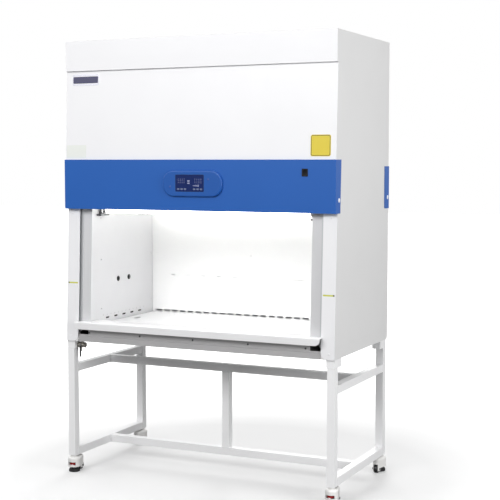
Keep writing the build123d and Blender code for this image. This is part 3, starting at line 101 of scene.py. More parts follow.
def add_node(nodes, kind, **values):
    """New node with some of its inputs set. An underscore in an input's name stands for a space."""
    made = nodes.new(kind)
    for label, value in values.items():
        made.inputs[label.replace("_", " ")].default_value = value
    return made


def ranged(nodes, links, value, limits, source=(0.0, 1.0)):
    """A value moved from its source range to other limits."""
    made = add_node(nodes, "ShaderNodeMapRange", From_Min=source[0], From_Max=source[1],
                    To_Min=limits[0], To_Max=limits[1])
    links.new(value, made.inputs["Value"])
    return made.outputs["Result"]


def tinted(nodes, links, factor, start, tint):
    """The starting colour, mixed with a fixed tint by a factor."""
    made = nodes.new("ShaderNodeMix")
    made.data_type = "RGBA"
    made.inputs["B"].default_value = tint
    links.new(factor, made.inputs["Factor"])
    links.new(start, made.inputs["A"])
    return made.outputs["Result"]


def surface(name, color, rough, metal=0.0, blotch=0.03, blotch_size=4.0, grain=0.05, grain_size=700.0,
            rough_vary=0.06, stretch=(1, 1, 1), wear=0.0, corner_shade=0.0, coat=0.0, transmission=0.0, ior=1.5):
    """Procedural finish: blotchy colour, grain in the bump, uneven gloss, worn edges and painted shade that
    darkens corners.
    """
    made = bpy.data.materials.new(name)
    made.use_nodes = True
    nodes, links = made.node_tree.nodes, made.node_tree.links
    shader = nodes["Principled BSDF"]
    shader.inputs["Metallic"].default_value = metal
    shader.inputs["Coat Weight"].default_value = coat
    shader.inputs["Coat Roughness"].default_value = COAT_ROUGHNESS
    shader.inputs["Transmission Weight"].default_value = transmission
    shader.inputs["IOR"].default_value = ior

    place = nodes.new("ShaderNodeTexCoord")
    mapping = add_node(nodes, "ShaderNodeMapping", Scale=stretch)
    links.new(place.outputs["Object"], mapping.inputs["Vector"])
    broad = add_node(nodes, "ShaderNodeTexNoise", Scale=blotch_size, Detail=6)
    links.new(place.outputs["Object"], broad.inputs["Vector"])
    tint = nodes.new("ShaderNodeValToRGB")
    dark, light = tint.color_ramp.elements
    dark.position, light.position = BLOTCH_LIMITS
    dark.color, light.color = shaded(color, 1 - blotch), shaded(color, 1 + blotch)
    links.new(broad.outputs["Fac"], tint.inputs["Fac"])
    latest = tint.outputs["Color"]

    fine = add_node(nodes, "ShaderNodeTexNoise", Scale=grain_size, Detail=3)
    links.new(mapping.outputs["Vector"], fine.inputs["Vector"])
    rough_limits = (max(SMOOTHEST, rough - rough_vary), min(1.0, rough + rough_vary))
    gloss = ranged(nodes, links, fine.outputs["Fac"], rough_limits)
    links.new(gloss, shader.inputs["Roughness"])
    bump = add_node(nodes, "ShaderNodeBump", Strength=grain, Distance=BUMP_DEPTH)
    links.new(fine.outputs["Fac"], bump.inputs["Height"])
    links.new(bump.outputs["Normal"], shader.inputs["Normal"])

    if wear:
        form = nodes.new("ShaderNodeNewGeometry")
        edge = ranged(nodes, links, form.outputs["Pointiness"], (0.0, wear), EDGE_LIMITS)
        latest = tinted(nodes, links, edge, latest, shaded(color, WORN_TINT))
    # Painted shade: ambient occlusion darkens the colour in corners, crevices and under parts
    if corner_shade:
        corner = add_node(nodes, "ShaderNodeAmbientOcclusion", Distance=CORNER_REACH)
        corner.samples = 4
        corner_darkening = ranged(nodes, links, corner.outputs["AO"], (corner_shade, 0.0), CORNER_LIMITS)
        latest = tinted(nodes, links, corner_darkening, latest, shaded(color, CORNER_SHADE_TINT))
    links.new(latest, shader.inputs["Base Color"])
    return made


def glowing(name, color, strength):
    """Lit surface with a slow change of brightness along it."""
    made = surface(name, color, 0.4)
    nodes, links = made.node_tree.nodes, made.node_tree.links
    shader = nodes["Principled BSDF"]
    slow = add_node(nodes, "ShaderNodeTexNoise", Scale=3)
    level = ranged(nodes, links, slow.outputs["Fac"], (strength * 0.9, strength * 1.1))
    shader.inputs["Emission Color"].default_value = color
    links.new(level, shader.inputs["Emission Strength"])
    return made


# Paint and enamel
# Each finish below also sets how strongly painted shade darkens its corners and crevices
white = surface("white_powder_coat", linear(244, 244, 246), 0.38, blotch=0.010, grain=0.10, grain_size=900,
                corner_shade=0.12, coat=0.15)
side_grey = surface("pale_grey_powder_coat", linear(228, 228, 228), 0.42, blotch=0.010, grain=0.10,
                    grain_size=900, corner_shade=0.12)
stand_white = surface("stand_powder_coat", linear(250, 250, 251), 0.36, blotch=0.012, grain=0.12,
                      grain_size=800, corner_shade=0.25, wear=0.1, coat=0.15)
weld_paint = surface("painted_weld", linear(238, 238, 239), 0.34, blotch=0.03, blotch_size=60, grain=0.25,
                     grain_size=250, corner_shade=0.35, coat=0.2)
blue = surface("blue_powder_coat", linear(36, 95, 178), 0.42, ior=1.38, blotch=0.015, grain=0.10,
               grain_size=900, corner_shade=0.15)
motor_paint = surface("motor_enamel", linear(92, 95, 100), 0.45, blotch=0.05, grain=0.15, grain_size=500,
                      corner_shade=0.3, wear=0.2)
lever_paint = surface("lever_coating", linear(42, 42, 44), 0.5, blotch=0.08, grain=0.2, grain_size=700,
                      wear=0.3)
ivory = surface("caster_enamel", linear(238, 237, 235), 0.36, blotch=0.02, grain=0.12, grain_size=600,
                corner_shade=0.35, wear=0.1, coat=0.2)

# Stainless steel, with its brushing drawn out along one axis
ALONG_X, ALONG_Y, ALONG_Z = (1, 30, 30), (30, 1, 30), (30, 30, 1)
steel = surface("brushed_stainless", linear(248, 248, 249), 0.38, metal=0.22, blotch=0.03, grain=0.10,
                grain_size=60, stretch=ALONG_X, rough_vary=0.08, corner_shade=0.2)
baffle_steel = surface("baffle_stainless", linear(250, 250, 250), 0.45, metal=0.1, blotch=0.01, grain=0.08,
                       grain_size=60, stretch=ALONG_X, rough_vary=0.08, corner_shade=0.2)
wall_steel = surface("chamber_stainless", linear(214, 214, 216), 0.45, metal=0.2, blotch=0.02, grain=0.08,
                     grain_size=60, stretch=ALONG_Y, rough_vary=0.08, corner_shade=0.25)
pan_steel = surface("dull_stainless", linear(181, 180, 181), 0.46, metal=0.35, blotch=0.03, grain=0.10,
                    grain_size=60, stretch=ALONG_X, corner_shade=0.3)
tray_steel = surface("tray_stainless", linear(242, 242, 243), 0.34, metal=0.3, blotch=0.02, grain=0.10,
                     grain_size=60, stretch=ALONG_X, corner_shade=0.2)

# Other metals
aluminium = surface("satin_aluminium", linear(200, 202, 204), 0.38, metal=0.55, blotch=0.02, grain=0.08,
                    grain_size=80, stretch=ALONG_Z, corner_shade=0.2)
zinc = surface("zinc_sheet", linear(165, 168, 172), 0.5, metal=0.5, blotch=0.12, blotch_size=25, grain=0.1,
               grain_size=200, corner_shade=0.3)
frame_metal = surface("filter_frame", linear(190, 192, 194), 0.45, metal=0.6, blotch=0.04, grain=0.08,
                      corner_shade=0.2)
plated = surface("dull_plating", linear(150, 146, 138), 0.38, metal=0.85, blotch=0.08, blotch_size=30,
                 grain=0.08, corner_shade=0.3, wear=0.3)
screw_metal = surface("screw_steel", linear(150, 150, 152), 0.28, metal=0.9, blotch=0.05, blotch_size=80,
                      grain=0.05, corner_shade=0.4)
dark_screw = surface("dark_screw", linear(84, 84, 86), 0.35, metal=0.8, blotch=0.05, blotch_size=80,
                     grain=0.05, corner_shade=0.4)

# Glass and lit surfaces
glass = surface("clear_glass", linear(245, 250, 248), 0.03, blotch=0.004, grain=0.0, rough_vary=0.01,
                transmission=1.0, ior=1.48)
screen_glass = surface("display_window", linear(24, 42, 98), 0.18, blotch=0.10, blotch_size=30, grain=0.02,
                       ior=1.25)
tube_lit = glowing("lit_lamp_tube", linear(250, 250, 246), 7.6)
lit_mark = glowing("display_mark", linear(140, 146, 178), 0.22)

# Plastics, rubber and filter media
pod_blue = surface("blue_moulding", linear(32, 88, 168), 0.32, ior=1.4, blotch=0.015, grain=0.06,
                   grain_size=1200, corner_shade=0.25)
pod_mark = surface("pod_mark", linear(44, 82, 158), 0.35, blotch=0.03, grain=0.05)
key_plastic = surface("key_moulding", linear(104, 116, 152), 0.38, blotch=0.03, grain=0.05, corner_shade=0.2)
black_plastic = surface("black_moulding", linear(18, 19, 21), 0.42, ior=1.35, blotch=0.08, grain=0.15,
                        grain_size=1500, corner_shade=0.1)
holder_plastic = surface("lamp_holder_moulding", linear(112, 113, 116), 0.5, blotch=0.06, grain=0.12,
                         grain_size=900, corner_shade=0.1)
plug_white = surface("plug_moulding", linear(240, 243, 250), 0.32, blotch=0.01, grain=0.05, corner_shade=0.1)
nylon = surface("black_nylon", linear(38, 38, 40), 0.34, blotch=0.08, grain=0.12, grain_size=700, corner_shade=0.15)
red = surface("red_moulding", linear(170, 28, 26), 0.34, blotch=0.05, grain=0.10, grain_size=900, corner_shade=0.25,
              coat=0.15)
rubber = surface("black_rubber", linear(28, 28, 29), 0.7, blotch=0.12, blotch_size=40, grain=0.3,
                 grain_size=600, corner_shade=0.2)
# Near-black for the sheets of painted shade behind the slots and ports
shade_sheet_black = surface("painted_shade_sheet", linear(46, 46, 48), 0.9, blotch=0.15, blotch_size=120, grain=0.5,
               grain_size=500)
paper = surface("filter_media", linear(236, 233, 224), 0.85, blotch=0.04, blotch_size=30, grain=0.35,
                grain_size=900, corner_shade=0.3)

# Plates, labels and print
badge_navy = surface("name_plate_enamel", linear(58, 58, 92), 0.30, blotch=0.04, grain=0.05, coat=0.4)
badge_rim = surface("name_plate_rim", linear(222, 222, 232), 0.28, metal=0.3, blotch=0.02, grain=0.05)
label_pale = surface("pale_label", linear(236, 239, 234), 0.5, blotch=0.015, grain=0.08, grain_size=1200)
yellow = surface("yellow_sticker", linear(222, 200, 52), 0.42, blotch=0.02, grain=0.05)
mark_yellow = surface("mark_sticker", linear(206, 212, 92), 0.45, blotch=0.03, grain=0.05)
ink = surface("dark_print", linear(34, 34, 30), 0.5, blotch=0.05, grain=0.05)

FINISHES = {
    white: ["rear_panel", "top_panel", "front_cap", "front_panel", "front_columns"],
    side_grey: ["side_panel_left", "side_panel_right", "base_frame"],
    stand_white: ["stand_frames", "stand_beams"],
    blue: ["control_band", "rear_corner_trims"],
    pod_blue: ["control_pod"],
    steel: ["armrest", "drive_shaft"],
    wall_steel: ["inner_walls"],
    baffle_steel: ["rear_baffle", "supply_diffuser"],
    pan_steel: ["drain_pan"],
    tray_steel: ["work_tray"],
    aluminium: ["sash_guides", "sash_rails", "idler_pulleys"],
    zinc: ["plenum_box", "blower_housing", "blower_impeller"],
    glass: ["sash_glass"],
    screen_glass: ["display_screen"],
    key_plastic: [f"key_{index}" for index in range(1, 7)],
    black_plastic: ["switch_bezel", "switch_rocker", "power_inlet"],
    rubber: ["drive_belts"] + [f"foot_{place}" for place in CORNERS],
    frame_metal: ["hepa_filters"],
    motor_paint: ["sash_motor"],
    tube_lit: ["lamp_tubes"],
    holder_plastic: ["lamp_holders"],
    plated: ["drain_valve"],
    lever_paint: ["drain_lever"],
    ivory: [f"caster_{place}" for place in CORNERS],
    nylon: [f"wheel_{place}" for place in CORNERS],
    red: [f"thumbwheel_{place}" for place in CORNERS],
}
for finish, names in FINISHES.items():
    for node_name in names:
        node_mesh = frame["nodes"][node_name].data
        node_mesh.materials.clear()
        node_mesh.materials.append(finish)


# Placements on the cabinet
def basis(point, normal, up=UP):
    """Placement whose Z is the normal and whose Y is nearest to up."""
    z_axis = Vector(normal).normalized()
    x_axis = Vector(up).cross(z_axis).normalized()
    y_axis = z_axis.cross(x_axis)
    return Matrix.Translation(point) @ Matrix((x_axis, y_axis, z_axis)).transposed().to_4x4()


def on_column(x, z):
    """Placement on the columns' leaning face."""
    return basis((x, column_y(z), z), LEANING)


def on_panel(x, z):
    """Placement on the front panel's leaning face."""
    return basis((x, panel_y(z), z), LEANING)


# Rings of points
ROUND_POINTS, HEX_POINTS = 32, 24


def circle(radius, height, count=ROUND_POINTS):
    """Round ring."""
    return [Vector((radius * cos(2 * pi * k / count), radius * sin(2 * pi * k / count), height))
            for k in range(count)]


def hexagon(radius, height, count=HEX_POINTS):
    """Hexagon of a corner radius, with points along its sides."""
    ring = []
    for k in range(count):
        angle = 2 * pi * k / count
        reach = radius * cos(pi / 6) / cos((angle + pi / 6) % (pi / 3) - pi / 6)
        ring.append(Vector((reach * cos(angle), reach * sin(angle), height)))
    return ring


def rounded(width, height, radius, level, steps=5):
    """Rectangle with round corners."""
    ring = []
    for corner_x, corner_y, start in ((1, 1, 0), (-1, 1, 90), (-1, -1, 180), (1, -1, 270)):
        for step in range(steps + 1):
            angle = radians(start + 90 * step / steps)
            ring.append(Vector((corner_x * (width / 2 - radius) + radius * cos(angle),
                                corner_y * (height / 2 - radius) + radius * sin(angle), level)))
    return ring


# Shapes made of rings
LEAST_RADIUS = 0.0001
SHARP_ANGLE = radians(32)
BEAD_STEPS = 8


def skin(shape, rings, placement, looped=False):
    """Adds the surface through a row of rings, closed at its ends or joined into a loop."""
    made = [[shape.verts.new(placement @ point) for point in ring] for ring in rings]
    pairs = list(zip(made, made[1:]))
    if looped:
        pairs.append((made[-1], made[0]))
    for low, high in pairs:
        for k in range(len(low)):
            follow = (k + 1) % len(low)
            shape.faces.new((low[k], low[follow], high[follow], high[k]))
    if not looped:
        shape.faces.new(list(reversed(made[0])))
        shape.faces.new(made[-1])


def piece(name, shape, body, material):
    """Makes an object of the shape that rides on a body."""
    bmesh.ops.recalc_face_normals(shape, faces=shape.faces)
    mesh = bpy.data.meshes.new(name)
    shape.to_mesh(mesh)
    shape.free()
    mesh.materials.append(material)
    mesh.shade_smooth()
    mesh.set_sharp_from_angle(angle=SHARP_ANGLE)
    made = bpy.data.objects.new(name, mesh)
    bpy.context.scene.collection.objects.link(made)
    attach(made, body)


def lathe(shape, placement, steps, looped=False):
    """Turned form through (radius, height) steps."""
    skin(shape, [circle(radius, height) for radius, height in steps], placement, looped)


def pan_head(shape, placement, radius):
    """Low domed screw head with a hexagonal socket."""
    rise = radius * 0.55
    skin(shape, [circle(radius, 0, HEX_POINTS), circle(radius, rise * 0.35, HEX_POINTS),
                 circle(radius * 0.86, rise * 0.8, HEX_POINTS), circle(radius * 0.62, rise, HEX_POINTS),
                 hexagon(radius * 0.48, rise), hexagon(radius * 0.46, rise * 0.3)], placement)


def hex_nut(shape, placement, radius, height, bore):
    """Chamfered nut round a domed thread end."""
    skin(shape, [hexagon(radius * 0.94, 0), hexagon(radius, height * 0.12), hexagon(radius, height * 0.86),
                 hexagon(radius * 0.92, height), circle(bore, height, HEX_POINTS),
                 circle(bore, height * 1.25, HEX_POINTS), circle(bore * 0.7, height * 1.4, HEX_POINTS)],
         placement)


def screws(name, radius, places, material=screw_metal):
    """Several screw heads as one piece. Each place is a point and a normal."""
    shape = bmesh.new()
    for point, normal in places:
        pan_head(shape, basis(point, normal, BACKWARD if normal == UP else UP), radius)
    piece(name, shape, "cabinet", material)


def plate(shape, placement, width, height, radius, thick, bevel):
    """Rounded plate with a bevelled outer edge."""
    skin(shape, [rounded(width, height, radius, 0), rounded(width, height, radius, thick - bevel),
                 rounded(width - 2 * bevel, height - 2 * bevel, max(radius - bevel, LEAST_RADIUS), thick)],
         placement)


def rim(shape, placement, width, height, radius, band, low, high):
    """Rounded frame, such as a printed border or a gasket."""
    inner = max(radius - band, LEAST_RADIUS)
    skin(shape, [rounded(width, height, radius, low), rounded(width, height, radius, high),
                 rounded(width - 2 * band, height - 2 * band, inner, high),
                 rounded(width - 2 * band, height - 2 * band, inner, low)], placement, looped=True)


def bead(shape, placement, across, thick):
    """Weld bead round a joint of square tube."""
    rings = []
    for k in range(BEAD_STEPS):
        angle = 2 * pi * k / BEAD_STEPS
        swell = thick * cos(angle)
        size = across + 2 * swell
        rings.append(rounded(size, size, thick + swell + 0.001, thick * sin(angle)))
    skin(shape, rings, placement, looped=True)


def bar(shape, low, high, soft=0.0006):
    """Straight strip between two corners, with softened edges."""
    size = [high[k] - low[k] for k in range(3)]
    placement = Matrix.Translation(((high[0] + low[0]) / 2, (high[1] + low[1]) / 2, low[2]))
    narrow_x, narrow_y = size[0] - 2 * soft, size[1] - 2 * soft
    skin(shape, [rounded(narrow_x, narrow_y, soft, 0), rounded(size[0], size[1], 2 * soft, soft),
                 rounded(size[0], size[1], 2 * soft, size[2] - soft),
                 rounded(narrow_x, narrow_y, soft, size[2])], placement)


def zigzag(name, x_limits, y_limits, base, tip, pitch=0.009, backing=0.05):
    """Pleated filter media across an opening, with its folds along Y."""
    shape = bmesh.new()
    count = int((x_limits[1] - x_limits[0]) / pitch)
    step = (x_limits[1] - x_limits[0]) / (2 * count)
    line = [(x_limits[0] + k * step, tip if k % 2 else base) for k in range(2 * count + 1)]
    rows = [[shape.verts.new((x, y, z)) for x, z in line] for y in y_limits]
    backs = [[shape.verts.new((x, y, base + (base - tip) * backing)) for x, z in line] for y in y_limits]
    for k in range(2 * count):
        shape.faces.new((rows[0][k], rows[0][k + 1], rows[1][k + 1], rows[1][k]))
        shape.faces.new((backs[0][k], backs[1][k], backs[1][k + 1], backs[0][k + 1]))
        shape.faces.new((rows[0][k], backs[0][k], backs[0][k + 1], rows[0][k + 1]))
        shape.faces.new((rows[1][k], rows[1][k + 1], backs[1][k + 1], backs[1][k]))
    for end in (0, -1):
        shape.faces.new((rows[0][end], rows[1][end], backs[1][end], backs[0][end]))
    piece(name, shape, "cabinet", paper)


# Name plate, pale label and yellow square on the front panel
badge_at = on_panel(-0.6355, 2.052)
shape = bmesh.new()
plate(shape, badge_at, width=0.150, height=0.034, radius=0.005, thick=0.0016, bevel=0.0005)
piece("name_plate", shape, "cabinet", badge_navy)
shape = bmesh.new()
rim(shape, badge_at, width=0.157, height=0.056, radius=0.007, band=0.0085, low=0, high=0.0012)
piece("name_plate_rim", shape, "cabinet", badge_rim)
shape = bmesh.new()
plate(shape, on_panel(-0.686, 1.686), width=0.118, height=0.066, radius=0.004, thick=0.0004, bevel=0.0002)
piece("pale_label", shape, "cabinet", label_pale)
yellow_at = on_panel(0.6705, 1.710)
shape = bmesh.new()
plate(shape, yellow_at, width=0.102, height=0.102, radius=0.010, thick=0.0008, bevel=0.0003)
piece("yellow_square", shape, "cabinet", yellow)
shape = bmesh.new()
rim(shape, yellow_at, width=0.096, height=0.096, radius=0.009, band=0.0022, low=0.0005, high=0.0011)
piece("yellow_square_border", shape, "cabinet", ink)

# White plugs on the blue side pieces
PLUG_SUNK = 0.0001
plug_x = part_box("control_band")[1].x - PLUG_SUNK
plug_steps = ((0.011, 0), (0.011, 0.0008), (0.0098, 0.0018), (0.0065, 0.0024), (0.0018, 0.0026))
shape = bmesh.new()
for side in SIDES:
    for plug_y, plug_z in ((FRONT + 0.025, 1.453), (FRONT + 0.731, 1.449)):
        lathe(shape, basis((side * plug_x, plug_y, plug_z), (side, 0, 0)), plug_steps)
piece("side_plugs", shape, "cabinet", plug_white)

# Working-height marks on the columns
MARK_Z, MARK_HEIGHT = 1.005, 0.0075
shape = bmesh.new()
for side in SIDES:
    plate(shape, on_column(side * 0.7145, MARK_Z), width=0.058, height=MARK_HEIGHT, radius=0.002,
          thick=0.0004, bevel=0.0001)
piece("height_marks", shape, "cabinet", mark_yellow)
shape = bmesh.new()
for side in SIDES:
    plate(shape, on_column(side * 0.7405, MARK_Z), width=0.006, height=MARK_HEIGHT, radius=0.001,
          thick=0.0005, bevel=0.0001)
piece("height_mark_ends", shape, "cabinet", ink)

# Screws of the sheet metal
SMALL_HEAD, COLUMN_HEAD, PANEL_HEAD = 0.0040, 0.0042, 0.0048
SKIRT_SCREW_Z, SKIRT_SETBACK = 0.747, 0.00801
screws("column_screws", COLUMN_HEAD,
       [((side * 0.7225, column_y(z), z), LEANING) for side in SIDES for z in (0.728, 1.368)], white)
screws("skirt_screws", PANEL_HEAD,
       [((x, column_y(SKIRT_SCREW_Z) + SKIRT_SETBACK, SKIRT_SCREW_Z), LEANING)
        for x in (-0.617, -0.314, -0.009, 0.295, 0.599)], dark_screw)
screws("rear_screws", PANEL_HEAD,
       [((x, REAR, z), BACKWARD) for x in (-0.738, 0.738) for z in (0.80, 1.04, 1.28, 1.74, 1.98, 2.21)]
       + [((x, REAR, z), BACKWARD) for x in (-0.50, -0.25, 0, 0.25, 0.50) for z in (0.775, 2.235)])
top_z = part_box("top_panel")[1].z
rear_edge_y = 0.385
screws("top_screws", PANEL_HEAD,
       [((x, y, top_z), UP) for x in (-0.735, 0.735) for y in (-0.300, -0.07, 0.16, rear_edge_y)]
       + [((x, rear_edge_y, top_z), UP) for x in (-0.45, -0.15, 0.15, 0.45)])
screws("wall_screws", SMALL_HEAD,
       [((side * WALL, y, z), (-side, 0, 0))
        for side in SIDES for y in (-0.24, 0.28) for z in (0.86, 1.12, 1.34)], wall_steel)
screws("baffle_screws", SMALL_HEAD,
       [((x, BAFFLE, z), FORWARD) for x in (-0.59, 0, 0.59) for z in (0.86, 1.12, 1.40)], baffle_steel)

# Grommets round the service ports
PORT_Z = 1.005
grommet_steps = ((0.0140, 0), (0.0140, 0.0010), (0.0132, 0.0018), (0.0115, 0.0018), (0.0107, 0.0015),
                 (0.0107, 0))
shape = bmesh.new()
for side in SIDES:
    for port_y in (FRONT + 0.280, FRONT + 0.390):
        lathe(shape, basis((side * WALL, port_y, PORT_Z), (-side, 0, 0)), grommet_steps, looped=True)
piece("port_grommets", shape, "cabinet", black_plastic)

# Dark sheets close behind the rows of slots, and on the side panels' inner faces: painted shade, put where
# the ducts behind the slots and ports are only in shade
SHADE_SHEET_THICK, SHADE_SHEET_LOW = 0.004, 0.790
SLOT_GAP, PANEL_THICK = 0.003, 0.0018


def shade_sheets(name, outer_x, y_limits, top):
    """A dark sheet of painted shade at each side, as one piece."""
    shape = bmesh.new()
    for side in SIDES:
        left, right = sorted((side * (outer_x - SHADE_SHEET_THICK), side * outer_x))
        bar(shape, (left, y_limits[0], SHADE_SHEET_LOW), (right, y_limits[1], top))
    piece(name, shape, "cabinet", shade_sheet_black)


shade_sheets("slot_shade_sheets", WALL + SHEET + SLOT_GAP + SHADE_SHEET_THICK, (BAFFLE - 0.515, BAFFLE - 0.115), 0.832)
shade_sheets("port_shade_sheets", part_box("side_panel_right")[1].x - PANEL_THICK, (BAFFLE - 0.540, BAFFLE - 0.030),
            1.300)

# Marks on the display: two readings, a level graph and rows at both sides, each with its place and size
GASKET_GAP, GASKET_LAP = 0.0002, 0.0005
screen_low, screen_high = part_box("display_screen")
screen_x, screen_z = (screen_low.x + screen_high.x) / 2, (screen_low.z + screen_high.z) / 2
readings = [(-0.006, 0.011, 0.013, 0.007), (-0.006, 0.0, 0.013, 0.006)]
graph = [(0.020 + 0.006 * k, -0.012, 0.0035, 0.004 + 0.0012 * k) for k in range(6)]
side_rows = [(side * (0.030 + 0.011 * k), 0.020 - 0.009 * row, 0.004, 0.0022)
             for side in SIDES for k in range(4) for row in range(3)]
shape = bmesh.new()
for mark_x, mark_z, width, height in readings + graph + side_rows:
    plate(shape, basis((screen_x + mark_x, screen_low.y, screen_z + mark_z), FORWARD), width, height,
          radius=0.0005, thick=0.0003, bevel=0.0001)
piece("display_marks", shape, "cabinet", lit_mark)
shape = bmesh.new()
rim(shape, basis((screen_x, screen_low.y - GASKET_GAP, screen_z), FORWARD),
    width=screen_high.x - screen_low.x + GASKET_LAP, height=screen_high.z - screen_low.z + GASKET_LAP,
    radius=0.004, band=0.0014, low=0, high=0.0006)
piece("display_gasket", shape, "cabinet", black_plastic)

# Round indicators on the pod
pod_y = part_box("control_pod")[0].y
indicator_steps = ((0.006, 0), (0.006, 0.0004), (0.0045, 0.0008), (0.001, 0.0009))
shape = bmesh.new()
for lamp_x, lamp_z in ((-0.122, BAND_LOW + 0.119), (0.090, BAND_LOW + 0.156)):
    lathe(shape, basis((lamp_x, pod_y, lamp_z), FORWARD), indicator_steps)
piece("pod_indicators", shape, "cabinet", pod_mark)

# Pleats of the two filters, above the supply sheet and under the exhaust grille
zigzag("exhaust_pleats", x_limits=(-0.489, 0.489), y_limits=(-0.127, 0.170), base=2.1852, tip=2.1965)
zigzag("supply_pleats", x_limits=(-0.593, 0.593), y_limits=(-0.232, 0.275), base=1.4622, tip=1.4510)

# Metal caps on the ends of the lamp tubes
TUBE_RADIUS, CAP_INSET = 0.013, 0.0225
cap_steps = ((0.0131, 0), (0.0138, 0.001), (0.0138, 0.020), (0.0130, 0.0215))
tube_low, tube_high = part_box("lamp_tubes")
shape = bmesh.new()
for lamp_y in (tube_low.y + TUBE_RADIUS, tube_high.y - TUBE_RADIUS):
    for side in SIDES:
        cap_at = (side * (tube_high.x - CAP_INSET), lamp_y, tube_high.z - TUBE_RADIUS)
        lathe(shape, basis(cap_at, (side, 0, 0)), cap_steps)
piece("lamp_caps", shape, "cabinet", aluminium)

# Welds of the stand: rail and beam ends, post ends and leg tops
TUBE, RAIL_WELD, TOP_WELD = 0.040, 0.0016, 0.0013
LEG_TOP = 0.660
leg_x, front_leg_y, _ = JOINT_AT["level_front_right"]
rear_leg_y = JOINT_AT["level_rear_right"][1]
beam_low, beam_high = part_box("stand_beams")
beam_y = (beam_low.y + beam_high.y) / 2
shape = bmesh.new()
for side in SIDES:
    for rail_z in (beam_low.z + TUBE / 2, beam_high.z - TUBE / 2):
        for rail_end in (front_leg_y + TUBE / 2, rear_leg_y - TUBE / 2):
            bead(shape, basis((side * leg_x, rail_end, rail_z), BACKWARD), TUBE, RAIL_WELD)
        bead(shape, basis((side * (leg_x - TUBE / 2), beam_y, rail_z), RIGHT), TUBE, RAIL_WELD)
for post_end in (beam_low.z + TUBE, beam_high.z - TUBE):
    bead(shape, basis((0, beam_y, post_end), UP, BACKWARD), TUBE, RAIL_WELD)
for place in CORNERS:
    stem_x, stem_y, _ = JOINT_AT[f"level_{place}"]
    bead(shape, basis((stem_x, stem_y, LEG_TOP), UP, BACKWARD), TUBE, TOP_WELD)
piece("stand_welds", shape, "cabinet", weld_paint)

# Casters: nuts on the axles, rims on the wheels, and a ring and a nut on the feet
AXLE_NUT_OUT, WHEEL_RIM_OUT, PAD_NUT_Z = 0.0178, 0.0099, 0.0160
wheel_rim_steps = ((0.0165, 0), (0.0160, 0.0006), (0.0140, 0.0008), (0.0134, 0.0002), (0.0134, -0.0006),
                   (0.0165, -0.0006))
pad_ring_steps = ((0.0268, 0.0112), (0.0268, 0.0128), (0.0262, 0.0134), (0.0255, 0.0134), (0.0255, 0.0112))
for place in CORNERS:
    stem_x, stem_y, _ = JOINT_AT[f"level_{place}"]
    axle_x, axle_y, axle_z = JOINT_AT[f"roll_{place}"]
    shape = bmesh.new()
    for side in SIDES:
        hex_nut(shape, basis((axle_x + side * AXLE_NUT_OUT, axle_y, axle_z), (side, 0, 0)),
                radius=0.0062, height=0.0036, bore=0.0030)
    piece(f"axle_nuts_{place}", shape, f"caster_{place}", screw_metal)
    shape = bmesh.new()
    for side in SIDES:
        lathe(shape, basis((axle_x + side * WHEEL_RIM_OUT, axle_y, axle_z), (side, 0, 0)), wheel_rim_steps,
              looped=True)
    piece(f"wheel_rims_{place}", shape, f"wheel_{place}", nylon)
    shape = bmesh.new()
    lathe(shape, Matrix.Translation((stem_x, stem_y, 0)), pad_ring_steps, looped=True)
    piece(f"pad_ring_{place}", shape, f"foot_{place}", rubber)
    shape = bmesh.new()
    hex_nut(shape, basis((stem_x, stem_y, PAD_NUT_Z), UP, BACKWARD),
            radius=0.0105, height=0.0042, bore=0.0061)
    piece(f"pad_nut_{place}", shape, f"foot_{place}", screw_metal)

# Drain valve: nuts round the body's ends, lever nut and grips
NUT_OUT = 0.0175
GRIPS, GRIP_DROP, GRIP_PITCH, GRIP_SUNK = 4, 0.050, 0.006, 0.0001
valve_x, valve_y, valve_z = JOINT_AT["drain_turn"]
lever_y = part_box("drain_lever")[0].y
valve_nut_steps = ((0.0140, 0), (0.0150, 0.0008), (0.0150, 0.0052), (0.0140, 0.0060))
shape = bmesh.new()
for nut_x, way in ((valve_x - NUT_OUT, LEFT), (valve_x + NUT_OUT, RIGHT)):
    skin(shape, [hexagon(radius, height) for radius, height in valve_nut_steps],
         basis((nut_x, valve_y, valve_z), way))
piece("valve_nuts", shape, "cabinet", plated)
shape = bmesh.new()
hex_nut(shape, basis((valve_x, lever_y, valve_z), FORWARD), radius=0.0058, height=0.0022, bore=0.0026)
piece("lever_nut", shape, "lever", screw_metal)
shape = bmesh.new()
for step in range(GRIPS):
    grip_z = valve_z - GRIP_DROP + GRIP_PITCH * step
    plate(shape, basis((valve_x, lever_y + GRIP_SUNK, grip_z), FORWARD), width=0.0078, height=0.0032,
          radius=0.0012, thick=0.0006, bevel=0.0003)
piece("lever_grips", shape, "lever", rubber)

# Seal under the sash's lower rail
SEAL_END, SEAL_DEPTHS, SEAL_HEIGHTS = 0.004, (0.0020, 0.0095), (-0.0008, 0.0012)
sash_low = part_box("sash_rails")[0]
seal_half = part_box("sash_rails")[1].x - SEAL_END
shape = bmesh.new()
bar(shape, (-seal_half, sash_low.y + SEAL_DEPTHS[0], sash_low.z + SEAL_HEIGHTS[0]),
    (seal_half, sash_low.y + SEAL_DEPTHS[1], sash_low.z + SEAL_HEIGHTS[1]))
piece("sash_seal", shape, "sash", rubber)

# Screws of the power inlet
INLET_EDGE, INLET_HEAD = 0.0036, 0.0034
inlet_low, inlet_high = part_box("power_inlet")
inlet_z = (inlet_low.z + inlet_high.z) / 2
screws("inlet_screws", INLET_HEAD,
       [((x, inlet_high.y, inlet_z), BACKWARD)
        for x in (inlet_low.x + INLET_EDGE, inlet_high.x - INLET_EDGE)])

